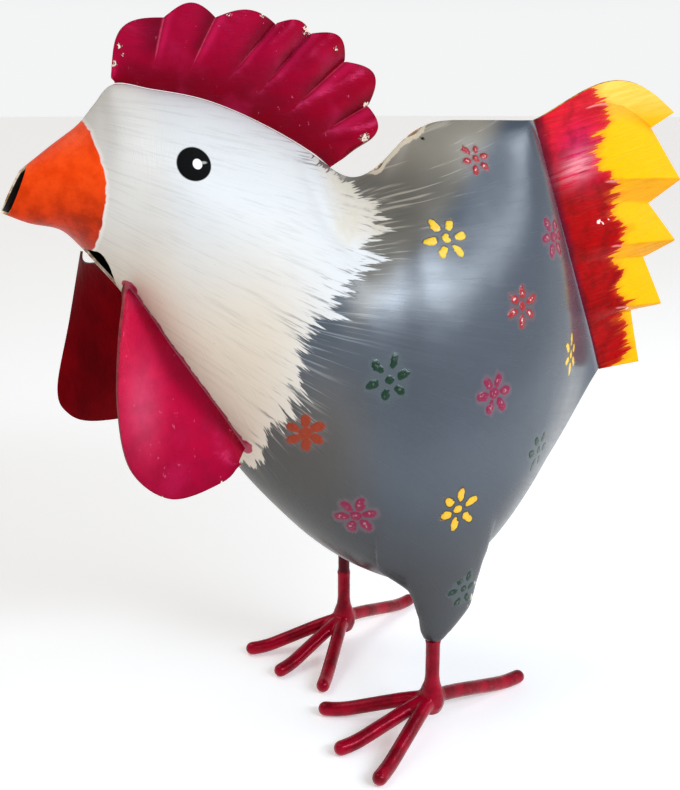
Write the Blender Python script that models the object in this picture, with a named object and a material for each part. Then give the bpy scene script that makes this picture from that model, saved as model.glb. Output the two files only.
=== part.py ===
"""Painted sheet-metal rooster, 306 mm tall, standing on two welded rod feet.

Two pressed sheet halves meet along a seam in the middle plane and make the hollow head and body.
A pleated comb, a pleated tail and two dished wattles are cut from the same sheet and welded on edge.
Each leg is a rod with a weld knob at its foot, and four toe rods are welded round the knob.

Units are metres, +Z is up, the rooster faces -Y and its left side is towards +X.
The origin is on the ground, at the middle of the whole part's footprint box.
"""

import math

import bmesh
import bpy
import numpy as np

MM = 0.001

# Sheet and fits
SHEET = 1.0 * MM  # wall of every sheet piece
FIT_GAP = 0.3 * MM  # between any two pieces that touch
SEAM_HALF = FIT_GAP / 2  # each body half stops this far from the middle plane

# Body stations from the beak's open end to the tail seam, in millimetres.
# Each row: share of the way along, top point (y, z), bottom point (y, z), half width,
# where down the section it is widest, how blunt the section is at its top and at its bottom.
STATIONS = (
    (0.00, -153.4, 246.2, -161.2, 231.2, 2.4, 0.50, 1.8, 1.8),
    (0.06, -141.8, 254.6, -151.5, 227.0, 8.0, 0.55, 1.6, 1.8),
    (0.12, -130.8, 262.4, -140.0, 223.8, 14.0, 0.55, 1.5, 1.9),
    (0.17, -124.4, 269.4, -133.2, 217.4, 18.0, 0.53, 1.5, 2.0),
    (0.22, -117.6, 276.0, -127.2, 210.0, 21.5, 0.50, 1.5, 2.0),
    (0.28, -103.0, 274.2, -117.6, 198.0, 25.0, 0.50, 1.5, 1.9),
    (0.38, -79.6, 269.6, -103.0, 172.0, 29.0, 0.50, 1.4, 1.7),
    (0.48, -54.0, 259.0, -86.0, 143.0, 32.5, 0.52, 1.3, 1.5),
    (0.55, -36.0, 249.0, -71.5, 119.0, 35.5, 0.56, 1.3, 1.5),
    (0.61, -20.6, 238.4, -53.0, 97.0, 39.0, 0.62, 1.3, 1.7),
    (0.67, -6.8, 242.8, -35.5, 79.0, 44.0, 0.70, 1.25, 2.4),
    (0.73, 8.0, 255.4, -17.5, 67.5, 49.0, 0.76, 1.2, 3.4),
    (0.79, 22.0, 261.2, 2.0, 60.0, 51.0, 0.79, 1.2, 3.4),
    (0.85, 40.0, 261.5, 26.0, 59.8, 47.7, 0.76, 1.2, 2.2),
    (0.91, 56.0, 261.3, 55.5, 73.8, 38.8, 0.70, 1.3, 1.8),
    (0.96, 66.0, 261.1, 91.5, 104.3, 24.3, 0.58, 1.4, 1.5),
    (1.00, 72.6, 261.1, 118.8, 141.3, 1.15, 0.50, 1.6, 1.6),
)
SECTION_FULLNESS = 2.1  # power of the section's curve, 2 is an ellipse
STATION_STEPS = 30  # grid lines along the body
SECTION_STEPS = 14  # grid lines from the top seam to the bottom seam
HIP_FINENESS = (1.25, 0.80, 0.30)  # shares of the thigh's reach inside which the grid is halved

# Hip, thigh and leg
HIP_X = 43.0 * MM  # from the middle plane to each leg's axis
HIP_Y = 0.0 * MM
LEFT_THIGH_TIP_Z = 43.0 * MM
RIGHT_THIGH_TIP_Z = 51.0 * MM  # this thigh is the shorter one, so more of its rod shows
THIGH_TIP_RADIUS = 3.9 * MM
THIGH_RADIUS = 14.5 * MM  # front to back, where the thigh is at its fullest
THIGH_REACH = 27.0 * MM  # how far from its axis the thigh shapes the body wall
THIGH_NARROW = 0.62  # the thigh's width over its length from front to back
THIGH_LEAN = 5.0 * MM  # how far the full part lies behind the tip
THIGH_HEIGHT = 34.0 * MM
THIGH_FADE = 24.0 * MM  # height over which the thigh's pull fades into the body wall
LEG_RADIUS = 3.2 * MM
KNOB_RADIUS = 5.8 * MM  # weld knob at the leg's foot
KNOB_Z = 14.0 * MM

# Openings left by the maker between the two halves
THROAT_START = 0.165  # shares of the way along the body
THROAT_END = 0.265
THROAT_WIDTH = 6.0 * MM  # how far the left half's edge bows away from the middle plane

# Toes: name, degrees from straight ahead (positive turns to the rooster's left), reach in mm
TOE_RADIUS = 3.3 * MM
LEFT_TOES = (
    ("inner", -37.0, 51.5),
    ("middle", 2.5, 49.5),
    ("outer", 34.0, 53.5),
    ("back", 193.0, 61.0),
)
RIGHT_TOES = (
    ("inner", 51.5, 52.5),
    ("middle", 21.0, 49.0),
    ("outer", -12.0, 51.0),
    ("back", 203.0, 59.0),
)
TOE_ROOT_Z = 14.5 * MM
TOE_FLAT = 7.0 * MM  # length of toe, short of its end, that lies flat on the ground
ROD_SIDES = 10

# Comb: the notches of its scalloped edge from front to back (y, z in millimetres), and how far
# each lobe between two notches bulges, as a share of the distance between them
COMB_NOTCHES = (
    (-117.6, 279.0),
    (-96.5, 300.0),
    (-76.4, 300.4),
    (-51.3, 298.6),
    (-36.3, 295.3),
    (-21.2, 285.0),
    (-10.5, 267.7),
    (-13.7, 252.0),
)
COMB_BULGES = (0.30, 0.26, 0.16, 0.22, 0.30, 0.36, 0.28)
COMB_START = 0.225  # shares of the way along the body's top seam
COMB_END = 0.578
COMB_PLEAT = 2.2 * MM
LOBE_STEPS = 6
COMB_ROWS = 4

# Tail: tips and notches of its toothed edge from the top (y, z in millimetres)
TAIL_TIPS = ((152.0, 264.0), (159.0, 232.4), (158.8, 203.0), (153.0, 172.0), (141.4, 143.4))
TAIL_NOTCHES = ((143.6, 256.6), (145.8, 221.0), (145.0, 194.8), (139.2, 169.0))
TAIL_ARCH = 15.5 * MM  # how far the top edge arches above a straight line
TAIL_ARCH_FADE = 0.30  # share of the tail's depth over which the arch dies out
TAIL_PLEAT = 3.2 * MM
TAIL_PANEL_STEPS = 5
TAIL_ROWS = 5

# Wattles: where each one's welded edge starts and ends along the body, how far down the section
# it lies, the free edge's points (y, z in millimetres) and how far it stands off the middle plane
WATTLE_STEPS = 14
WATTLE_ROWS = 5
WATTLE_DISH = 3.0 * MM
LEFT_WATTLE = dict(start=0.275, end=0.53, down=0.90, stand=22.0,
                   free=((-122.5, 206.5), (-126.5, 184.0), (-128.3, 158.3), (-124.5, 133.5),
                         (-109.0, 119.5), (-88.0, 123.0), (-79.5, 129.5)))
RIGHT_WATTLE = dict(start=0.235, end=0.49, down=0.90, stand=22.0,
                    free=((-127.5, 212.5), (-134.0, 185.0), (-140.8, 158.0), (-137.5, 147.2),
                          (-127.0, 142.3), (-105.0, 143.0), (-91.0, 149.0)))

BODY_GREY = (0.105, 0.125, 0.145)
COMB_RED = (0.40, 0.005, 0.035)
TAIL_YELLOW = (0.85, 0.45, 0.01)
LEG_RED = (0.36, 0.004, 0.02)


def clear_scene():
    for obj in list(bpy.data.objects):
        bpy.data.objects.remove(obj)


def paint(name, colour, roughness):
    """A gloss paint over metal, as the whole sculpture has."""
    material = bpy.data.materials.new(name)
    material.use_nodes = True
    shader = material.node_tree.nodes["Principled BSDF"]
    shader.inputs["Base Color"].default_value = (*colour, 1.0)
    shader.inputs["Roughness"].default_value = roughness
    shader.inputs["Metallic"].default_value = 0.0
    return material


def add_object(name, bm, material, parent):
    """Puts a closed bmesh into the scene as one smooth-shaded node."""
    bmesh.ops.recalc_face_normals(bm, faces=bm.faces)
    if bm.calc_volume(signed=True) < 0:
        bmesh.ops.reverse_faces(bm, faces=bm.faces)
    mesh = bpy.data.meshes.new(name)
    bm.to_mesh(mesh)
    bm.free()
    mesh.shade_smooth()
    mesh.set_sharp_from_angle(angle=math.radians(40))
    mesh.materials.append(material)
    obj = bpy.data.objects.new(name, mesh)
    bpy.context.scene.collection.objects.link(obj)
    obj.parent = parent
    return obj


def smooth_step(x):
    x = np.clip(x, 0.0, 1.0)
    return x * x * (3.0 - 2.0 * x)


def spline(knots, values, at):
    """A smooth curve through values at the given knots, with slopes from the neighbours."""
    knots = np.asarray(knots, float)
    values = np.asarray(values, float)
    slopes = np.gradient(values, knots, axis=0)
    i = np.clip(np.searchsorted(knots, at, side="right") - 1, 0, len(knots) - 2)
    span = knots[i + 1] - knots[i]
    t = (at - knots[i]) / span
    h00 = 2 * t**3 - 3 * t**2 + 1
    h10 = t**3 - 2 * t**2 + t
    h01 = -2 * t**3 + 3 * t**2
    h11 = t**3 - t**2
    return h00 * values[i] + h10 * span * slopes[i] + h01 * values[i + 1] + h11 * span * slopes[i + 1]


STATION_SHARES = np.array([row[0] for row in STATIONS])
STATION_LENGTHS = np.array([row[1:6] for row in STATIONS]) * MM
STATION_SHAPES = np.array([row[6:9] for row in STATIONS])


def top_seam(share):
    return spline(STATION_SHARES, STATION_LENGTHS[:, 0:2], share)


def section(share, down):
    """Points (x, y, z) of the left half's outer skin at one station, for shares down its section."""
    top_y, top_z, bottom_y, bottom_z, half_width = spline(STATION_SHARES, STATION_LENGTHS, share)
    widest, top_blunt, bottom_blunt = spline(STATION_SHARES, STATION_SHAPES, share)
    upper = down < widest
    reach = np.where(upper, 1.0 - down / widest, (down - widest) / (1.0 - widest))
    blunt = np.where(upper, top_blunt, bottom_blunt)
    bulge = np.clip(1.0 - np.abs(reach) ** SECTION_FULLNESS, 0.0, 1.0) ** (1.0 / blunt)
    x = SEAM_HALF + (half_width - SEAM_HALF) * bulge
    y = top_y + (bottom_y - top_y) * down
    z = top_z + (bottom_z - top_z) * down
    return np.stack([x, y, z], axis=-1)


def throat_trim(share):
    """Share of the way through the throat opening, 1 in its middle and 0 outside it."""
    through = (share - THROAT_START) / (THROAT_END - THROAT_START)
    return math.sin(math.pi * through) if 0.0 < through < 1.0 else 0.0


def soft_min(a, b, width):
    h = np.clip(0.5 + 0.5 * (b - a) / width, 0.0, 1.0)
    return b + (a - b) * h - width * h * (1.0 - h)


def thigh_profile():
    """Radius and height above the tip along the thigh's outline, with the outline's length."""
    radius = np.array([
        0.0,
        THIGH_TIP_RADIUS,
        THIGH_RADIUS * 0.60,
        THIGH_RADIUS * 0.88,
        THIGH_RADIUS,
        THIGH_RADIUS * 1.12,
        THIGH_REACH * 0.76,
        THIGH_REACH,
    ])
    height = THIGH_HEIGHT * np.array([0.0, 0.0, 0.20, 0.37, 0.52, 0.66, 0.80, 1.0])
    length = np.concatenate([[0.0], np.cumsum(np.hypot(np.diff(radius), np.diff(height)))])
    return radius, height, length


def hip_share(points):
    """How far each point is from the hip, as a share of the thigh's reach."""
    aside = (points[..., 0] - HIP_X) / THIGH_NARROW
    behind = points[..., 1] - HIP_Y
    return np.maximum(np.hypot(aside, behind), 1e-9) / THIGH_REACH


def pull_thigh(points, tip_z):
    """Draws the body's lower wall down into the thigh that holds the leg."""
    share = hip_share(points)
    radius, height, length = thigh_profile()
    at = np.clip(share, 0.0, 1.0) * length[-1]
    ring = np.interp(at, length, radius)
    rise = np.interp(at, length, height)
    neck = smooth_step(rise / (THIGH_HEIGHT * 0.4))
    narrow = 1.0 + (THIGH_NARROW - 1.0) * neck
    lean = THIGH_LEAN * neck * (1.0 - smooth_step((ring - THIGH_RADIUS) / (THIGH_REACH - THIGH_RADIUS)))
    aside = (points[..., 0] - HIP_X) / THIGH_NARROW / (share * THIGH_REACH)
    behind = (points[..., 1] - HIP_Y) / (share * THIGH_REACH)
    z = points[..., 2]
    weight = 1.0 - smooth_step((z - tip_z - THIGH_HEIGHT) / THIGH_FADE)
    weight = np.where(share < 1.0, weight, 0.0)
    out = points.copy()
    out[..., 0] += weight * (HIP_X + aside * ring * narrow - points[..., 0])
    out[..., 1] += weight * (HIP_Y + lean + behind * ring - points[..., 1])
    out[..., 2] += weight * (soft_min(z, tip_z + rise, THIGH_HEIGHT * 0.1) - z)
    out[..., 2] = np.maximum(out[..., 2], tip_z)
    return out


def plain_skin(share, along, throat_width):
    """One point of the left half's outer skin before the thigh is drawn out of it.

    along runs from the top seam (0) to the bottom seam (1).
    """
    down = 0.5 - 0.5 * np.cos(np.linspace(0.0, math.pi, 121))
    curve = section(share, down)
    open_width = SEAM_HALF + throat_width * throat_trim(share)
    lower = np.arange(len(down)) > len(down) // 2
    keep = ~(lower & (curve[:, 0] < open_width))
    curve = curve[keep] if open_width > SEAM_HALF else curve
    steps = np.linalg.norm(np.diff(curve, axis=0), axis=1)
    length = np.concatenate([[0.0], np.cumsum(steps)])
    wanted = along * length[-1]
    return np.array([np.interp(wanted, length, curve[:, k]) for k in range(3)])


def skin(share, along, throat_width, tip_z):
    return pull_thigh(plain_skin(share, along, throat_width), tip_z)


def skin_normal(share, along, throat_width, tip_z):
    """Outward direction of the left half's skin, from its neighbours on the surface."""
    step = 0.004
    ahead = skin(min(share + step, 1.0), along, throat_width, tip_z)
    behind = skin(max(share - step, 0.0), along, throat_width, tip_z)
    below = skin(share, min(along + step, 1.0), throat_width, tip_z)
    above = skin(share, max(along - step, 0.0), throat_width, tip_z)
    normal = np.cross(below - above, ahead - behind)
    return normal / max(np.linalg.norm(normal), 1e-12)


def inner_skin(outer, normal):
    """The point one sheet inside the outer skin, never across the middle plane."""
    inner = outer - normal * SHEET
    if outer[0] <= SEAM_HALF * 1.01:
        flat = np.array([0.0, normal[1], normal[2]])
        size = max(np.linalg.norm(flat), 0.25)
        inner = outer - flat / size**2 * SHEET
        inner[0] = outer[0]
    else:
        inner[0] = max(inner[0], SEAM_HALF + 0.1 * outer[0])
    return inner


def body_half(name, side, throat_width, tip_z, material, parent):
    """One pressed half: a flat grid over (share, along), finer at the thigh, mapped to both skins."""
    bm = bmesh.new()
    shares = np.linspace(0.0, 1.0, STATION_STEPS + 1)
    alongs = np.linspace(0.0, 1.0, SECTION_STEPS + 1)
    grid = [[bm.verts.new((s, a, 0.0)) for a in alongs] for s in shares]
    for i in range(STATION_STEPS):
        for j in range(SECTION_STEPS):
            bm.faces.new((grid[i][j], grid[i + 1][j], grid[i + 1][j + 1], grid[i][j + 1]))

    for reach in HIP_FINENESS:
        close = set()
        for vert in bm.verts:
            point = plain_skin(vert.co.x, vert.co.y, throat_width)
            low = point[2] < tip_z + THIGH_HEIGHT + THIGH_FADE
            if low and hip_share(point) < reach and not vert.is_boundary:
                close.add(vert)
        edges = [e for e in bm.edges if e.verts[0] in close and e.verts[1] in close]
        bmesh.ops.subdivide_edges(bm, edges=edges, cuts=1, use_grid_fill=True)
    bmesh.ops.triangulate(bm, faces=bm.faces)

    outer_points = []
    inner_points = []
    for vert in bm.verts:
        outer = skin(vert.co.x, vert.co.y, throat_width, tip_z)
        normal = skin_normal(vert.co.x, vert.co.y, throat_width, tip_z)
        outer_points.append(outer)
        inner_points.append(inner_skin(outer, normal))
    bm.verts.index_update()
    faces = [[v.index for v in f.verts] for f in bm.faces]
    rim = [[v.index for v in e.verts] for e in bm.edges if e.is_boundary]
    bm.free()
    return shell_object(name, outer_points, inner_points, faces, rim, side, material, parent)


def shell_object(name, outer, inner, faces, rim, side, material, parent):
    """A closed sheet solid from two skins with the same faces and the rim between them."""
    bm = bmesh.new()
    outside = [bm.verts.new((side * p[0], p[1], p[2])) for p in outer]
    inside = [bm.verts.new((side * p[0], p[1], p[2])) for p in inner]
    for face in faces:
        bm.faces.new([outside[i] for i in face])
        bm.faces.new([inside[i] for i in reversed(face)])
    for a, b in rim:
        bm.faces.new((outside[a], outside[b], inside[b], inside[a]))
    bmesh.ops.triangulate(bm, faces=bm.faces)
    return add_object(name, bm, material, parent)


def sheet_from_grid(name, points, material, parent):
    """A bent sheet of even thickness about a grid of middle-surface points."""
    points = np.asarray(points, float)
    rows, columns = points.shape[:2]
    along = np.gradient(points, axis=0)
    across = np.gradient(points, axis=1)
    normal = np.cross(along, across)
    normal /= np.maximum(np.linalg.norm(normal, axis=-1, keepdims=True), 1e-12)
    flat = points.reshape(-1, 3)
    offset = normal.reshape(-1, 3) * SHEET / 2
    faces = []
    for i in range(rows - 1):
        for j in range(columns - 1):
            a = i * columns + j
            faces.append((a, a + columns, a + columns + 1, a + 1))
    loop = [j for j in range(columns)]
    loop += [i * columns + columns - 1 for i in range(1, rows)]
    loop += [(rows - 1) * columns + j for j in range(columns - 2, -1, -1)]
    loop += [i * columns for i in range(rows - 2, 0, -1)]
    rim = list(zip(loop, loop[1:] + loop[:1]))
    return shell_object(name, flat + offset, flat - offset, faces, rim, 1, material, parent)


def comb_edge(u):
    """A point of the scalloped edge, u counting lobes from the front, with its pleat phase."""
    lobe = min(int(u), len(COMB_BULGES) - 1)
    part = u - lobe
    start = np.array(COMB_NOTCHES[lobe]) * MM
    end = np.array(COMB_NOTCHES[lobe + 1]) * MM
    chord = end - start
    outward = np.array([-chord[1], chord[0]])
    return start + chord * part + outward * COMB_BULGES[lobe] * math.sin(math.pi * part)


def comb(material, parent):
    lobes = len(COMB_BULGES)
    grid = []
    for k in range(lobes * LOBE_STEPS + 1):
        u = k / LOBE_STEPS
        share = COMB_START + (COMB_END - COMB_START) * u / lobes
        base = top_seam(share)
        ahead = top_seam(share + 0.005)
        line = ahead - base
        up = np.array([-line[1], line[0]]) / np.linalg.norm(line)
        base = base + up * FIT_GAP
        edge = comb_edge(u)
        column = []
        for row in range(COMB_ROWS + 1):
            v = row / COMB_ROWS
            y, z = base + (edge - base) * v
            x = -COMB_PLEAT * math.cos(2 * math.pi * u) * smooth_step(v)
            column.append((x, y, z))
        grid.append(column)
    return sheet_from_grid("comb", grid, material, parent)


def tail_edge(u):
    """A point of the toothed edge and its pleat offset, u counting panels from the top."""
    panels = len(TAIL_NOTCHES)
    k = min(int(u), panels - 1)
    part = u - k
    tip = np.array(TAIL_TIPS[k]) * MM
    notch = np.array(TAIL_NOTCHES[k]) * MM
    next_tip = np.array(TAIL_TIPS[k + 1]) * MM
    step = 1.0 / TAIL_PANEL_STEPS
    if part <= step:
        return tip + (notch - tip) * part / step, 1.0 - 2.0 * part / step
    rise = (part - step) / (1.0 - step)
    return notch + (next_tip - notch) * rise, -1.0 + 2.0 * rise


def tail(material, parent):
    panels = len(TAIL_NOTCHES)
    top = STATION_LENGTHS[-1, 0:2]
    bottom = STATION_LENGTHS[-1, 2:4]
    line = bottom - top
    out = np.array([-line[1], line[0]]) / np.linalg.norm(line)
    grid = []
    for k in range(panels * TAIL_PANEL_STEPS + 1):
        u = k / TAIL_PANEL_STEPS
        down = u / panels
        base = top + line * down + out * FIT_GAP
        edge, pleat = tail_edge(u)
        arch = TAIL_ARCH * max(0.0, 1.0 - down / TAIL_ARCH_FADE) ** 1.5
        column = []
        for row in range(TAIL_ROWS + 1):
            v = row / TAIL_ROWS
            y, z = base + (edge - base) * v
            z += arch * math.sin(math.pi * v**1.2)
            x = TAIL_PLEAT * pleat * v
            column.append((x, y, z))
        grid.append(column)
    return sheet_from_grid("tail", grid, material, parent)


def wattle(name, side, shape, material, parent):
    """A teardrop sheet welded by one edge to the throat, dished away from the middle plane."""
    free = np.array(shape["free"]) * MM
    knots = np.linspace(0.0, 1.0, len(free))
    grid = []
    for i in range(WATTLE_STEPS + 1):
        u = i / WATTLE_STEPS
        share = shape["start"] + (shape["end"] - shape["start"]) * u
        root = skin(share, shape["down"], 0.0, LEFT_THIGH_TIP_Z)
        normal = skin_normal(share, shape["down"], 0.0, LEFT_THIGH_TIP_Z)
        root = root + normal * (FIT_GAP + SHEET / 2)
        y, z = spline(knots, free, u)
        rim = np.array([shape["stand"] * MM, y, z])
        column = []
        for row in range(WATTLE_ROWS + 1):
            v = row / WATTLE_ROWS
            point = root + (rim - root) * v
            point = point + normal * WATTLE_DISH * math.sin(math.pi * v)
            column.append((side * point[0], point[1], point[2]))
        grid.append(column)
    return sheet_from_grid(name, grid, material, parent)


def rod(path, radii, sides):
    """A closed round bar through the path's points, with a flat side facing down."""
    path = np.asarray(path, float)
    bm = bmesh.new()
    rings = []
    for i, centre in enumerate(path):
        ahead = path[min(i + 1, len(path) - 1)] - path[max(i - 1, 0)]
        ahead /= np.linalg.norm(ahead)
        guide = np.array([0.0, 0.0, 1.0]) if abs(ahead[2]) < 0.9 else np.array([0.0, 1.0, 0.0])
        across = np.cross(ahead, guide)
        across /= np.linalg.norm(across)
        up = np.cross(across, ahead)
        ring = []
        for k in range(sides):
            angle = 2 * math.pi * (k + 0.5) / sides - math.pi / 2
            spoke = across * math.cos(angle) + up * math.sin(angle)
            ring.append(bm.verts.new(centre + spoke * radii[i]))
        rings.append(ring)
    for lower, upper in zip(rings, rings[1:]):
        for k in range(sides):
            n = (k + 1) % sides
            bm.faces.new((lower[k], lower[n], upper[n], upper[k]))
    bm.faces.new(rings[0][::-1])
    bm.faces.new(rings[-1])
    bmesh.ops.recalc_face_normals(bm, faces=bm.faces)
    return bm


def leg(name, side, tip_z, material, parent):
    """The leg rod, flared at its foot into the weld knob, which ends in a rounded point."""
    top = tip_z - FIT_GAP
    profile = (
        (KNOB_Z - KNOB_RADIUS * 1.30, KNOB_RADIUS * 0.45),
        (KNOB_Z - KNOB_RADIUS * 1.00, KNOB_RADIUS * 0.80),
        (KNOB_Z - KNOB_RADIUS * 0.45, KNOB_RADIUS * 0.98),
        (KNOB_Z + KNOB_RADIUS * 0.30, KNOB_RADIUS),
        (KNOB_Z + KNOB_RADIUS * 0.85, KNOB_RADIUS * 0.80),
        (KNOB_Z + KNOB_RADIUS * 1.40, LEG_RADIUS * 1.08),
        (KNOB_Z + KNOB_RADIUS * 1.90, LEG_RADIUS),
        (top, LEG_RADIUS),
    )
    path = [(side * HIP_X, HIP_Y, z) for z, _ in profile]
    bm = rod(path, [radius for _, radius in profile], ROD_SIDES + 2)
    return add_object(name, bm, material, parent)


def toe_bar(side, angle, reach, grow=0.0):
    """A toe: out of the knob, down, and flat along the ground to its rounded end."""
    ground = TOE_RADIUS * math.cos(math.pi / ROD_SIDES)
    flat_end = reach - TOE_RADIUS * 0.70
    flat_start = flat_end - TOE_FLAT
    drop = TOE_ROOT_Z - ground
    ease = TOE_FLAT * 0.15
    shape = (
        (KNOB_RADIUS * 0.30, TOE_ROOT_Z, 1.0),
        (reach * 0.22, ground + drop * 0.80, 1.0),
        (reach * 0.50, ground + drop * 0.42, 1.0),
        (reach * 0.72, ground + drop * 0.12, 1.0),
        (flat_start, ground, 1.0),
        (flat_start + ease, ground, 1.0),
        (flat_end - ease, ground, 1.0),
        (flat_end, ground, 1.0),
        (reach - TOE_RADIUS * 0.20, ground * 1.10, 0.82),
        (reach, ground * 1.20, 0.45),
    )
    turn = math.radians(angle)
    ahead = np.array([math.sin(turn), -math.cos(turn)])
    path = [(side * HIP_X + ahead[0] * r, HIP_Y + ahead[1] * r, z) for r, z, _ in shape]
    return rod(path, [(TOE_RADIUS + grow) * share for _, _, share in shape], ROD_SIDES)


def cut(target, cutter):
    """Takes the cutter's space out of the target for good."""
    modifier = target.modifiers.new("cut", "BOOLEAN")
    modifier.operation = "DIFFERENCE"
    modifier.object = cutter
    modifier.solver = "EXACT"


def guide_object(name, bm, parent):
    obj = add_object(name, bm, bpy.data.materials["leg_paint"], parent)
    obj.hide_render = True
    obj.display_type = "WIRE"
    return obj


def foot(name, side, toes, material, parent):
    """Four toe rods, coped to stand a fit gap off the knob and off the middle toe."""
    grown = KNOB_RADIUS + FIT_GAP
    column = [(side * HIP_X, HIP_Y, z) for z in (-KNOB_RADIUS, KNOB_Z * 3)]
    knob = guide_object(name + "_knob_guide", rod(column, [grown, grown], ROD_SIDES + 2), parent)
    middle_toe = [toe for toe in toes if toe[0] == "middle"][0]
    spread = toe_bar(side, middle_toe[1], middle_toe[2] * MM, FIT_GAP)
    middle = guide_object(name + "_middle_guide", spread, parent)
    for toe, angle, reach in toes:
        bm = toe_bar(side, angle, reach * MM)
        obj = add_object(f"{name}_{toe}_toe", bm, material, parent)
        cut(obj, knob)
        if toe in ("inner", "outer"):
            cut(obj, middle)


def toe_reach_sideways(side, toes):
    """How far a foot's rods stand out from the middle plane on its own side."""
    reach = [r * MM * math.sin(math.radians(a)) * side for _, a, r in toes]
    return HIP_X + max(reach) + TOE_RADIUS * 0.5


def build():
    clear_scene()
    left_reach = toe_reach_sideways(1, LEFT_TOES)
    right_reach = toe_reach_sideways(-1, RIGHT_TOES)
    root = bpy.data.objects.new("rooster", None)
    root.location = ((right_reach - left_reach) / 2, 0.0, 0.0)
    bpy.context.scene.collection.objects.link(root)
    bpy.context.view_layer.update()

    body_paint = paint("body_paint", BODY_GREY, 0.35)
    comb_paint = paint("comb_paint", COMB_RED, 0.30)
    tail_paint = paint("tail_paint", TAIL_YELLOW, 0.35)
    leg_paint = paint("leg_paint", LEG_RED, 0.30)

    body_half("body_left", 1, THROAT_WIDTH, LEFT_THIGH_TIP_Z, body_paint, root)
    body_half("body_right", -1, 0.0, RIGHT_THIGH_TIP_Z, body_paint, root)
    comb(comb_paint, root)
    tail(tail_paint, root)
    wattle("wattle_left", 1, LEFT_WATTLE, comb_paint, root)
    wattle("wattle_right", -1, RIGHT_WATTLE, comb_paint, root)
    sides = (("left", 1, LEFT_THIGH_TIP_Z, LEFT_TOES), ("right", -1, RIGHT_THIGH_TIP_Z, RIGHT_TOES))
    for name, side, tip_z, toes in sides:
        leg(name + "_leg", side, tip_z, leg_paint, root)
        foot(name, side, toes, leg_paint, root)


build()
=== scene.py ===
"""Painted sheet-metal rooster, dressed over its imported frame.

The two pressed body halves, the comb, the tail, the wattles and the welded feet are lofted again from
the same outlines, finely enough to carry hand-painted strokes, dabbed flowers, chips and cut edges.
Lengths are metres in the frame's own axes: the rooster faces -Y and its left side is towards +X.
"""
import math

import bmesh
import bpy
import numpy as np
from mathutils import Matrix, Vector, noise


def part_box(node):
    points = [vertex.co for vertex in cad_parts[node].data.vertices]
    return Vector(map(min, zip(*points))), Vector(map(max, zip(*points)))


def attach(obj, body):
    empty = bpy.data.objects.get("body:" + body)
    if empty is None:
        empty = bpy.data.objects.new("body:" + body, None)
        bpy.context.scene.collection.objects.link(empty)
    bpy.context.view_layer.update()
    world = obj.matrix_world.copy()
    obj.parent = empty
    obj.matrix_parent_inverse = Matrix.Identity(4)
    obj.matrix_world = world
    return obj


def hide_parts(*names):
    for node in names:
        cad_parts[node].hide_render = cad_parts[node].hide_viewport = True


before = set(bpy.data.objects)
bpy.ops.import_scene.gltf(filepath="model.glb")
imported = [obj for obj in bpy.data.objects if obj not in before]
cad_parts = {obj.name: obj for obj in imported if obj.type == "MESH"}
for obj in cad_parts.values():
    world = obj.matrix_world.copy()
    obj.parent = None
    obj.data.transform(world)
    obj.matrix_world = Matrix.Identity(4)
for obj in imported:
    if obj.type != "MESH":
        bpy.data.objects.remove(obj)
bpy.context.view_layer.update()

MM = 0.001
SHEET = 1.0 * MM
FIT_GAP = 0.3 * MM
SEAM_HALF = FIT_GAP / 2
MIDDLE_X = (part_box("body_left")[0][0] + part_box("body_right")[1][0]) / 2

# Body stations: share of the way along, top point (y, z), bottom point (y, z), half width in
# millimetres, where down the section it is widest, how blunt it is at its top and at its bottom
STATIONS = (
    (0.00, -153.4, 246.2, -161.2, 231.2, 2.4, 0.50, 1.8, 1.8),
    (0.06, -141.8, 254.6, -151.5, 227.0, 8.0, 0.55, 1.6, 1.8),
    (0.12, -130.8, 262.4, -140.0, 223.8, 14.0, 0.55, 1.5, 1.9),
    (0.17, -124.4, 269.4, -133.2, 217.4, 18.0, 0.53, 1.5, 2.0),
    (0.22, -117.6, 276.0, -127.2, 210.0, 21.5, 0.50, 1.5, 2.0),
    (0.28, -103.0, 274.2, -117.6, 198.0, 25.0, 0.50, 1.5, 1.9),
    (0.38, -79.6, 269.6, -103.0, 172.0, 29.0, 0.50, 1.4, 1.7),
    (0.48, -54.0, 259.0, -86.0, 143.0, 32.5, 0.52, 1.3, 1.5),
    (0.55, -36.0, 249.0, -71.5, 119.0, 35.5, 0.56, 1.3, 1.5),
    (0.61, -20.6, 238.4, -53.0, 97.0, 39.0, 0.62, 1.3, 1.7),
    (0.67, -6.8, 242.8, -35.5, 79.0, 44.0, 0.70, 1.25, 2.4),
    (0.73, 8.0, 255.4, -17.5, 67.5, 49.0, 0.76, 1.2, 3.4),
    (0.79, 22.0, 261.2, 2.0, 60.0, 51.0, 0.79, 1.2, 3.4),
    (0.85, 40.0, 261.5, 26.0, 59.8, 47.7, 0.76, 1.2, 2.2),
    (0.91, 56.0, 261.3, 55.5, 73.8, 38.8, 0.70, 1.3, 1.8),
    (0.96, 66.0, 261.1, 91.5, 104.3, 24.3, 0.58, 1.4, 1.5),
    (1.00, 72.6, 261.1, 118.8, 141.3, 1.15, 0.50, 1.6, 1.6),
)
SECTION_FULLNESS = 2.1
BODY_LINES = 236  # grid lines along the body
SECTION_LINES = 124  # grid lines from the top seam to the bottom seam
# Where those lines are closer together: middle, width, extra density
BODY_CLOSER = ((0.73, 0.07, 1.5), (0.2, 0.06, 0.5), (1.0, 0.03, 0.8))
SECTION_CLOSER = ((0.88, 0.10, 1.2), (0.0, 0.03, 1.5), (1.0, 0.03, 0.8))
DENT = 0.22 * MM  # how far the hand-pressed sheet wanders

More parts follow.
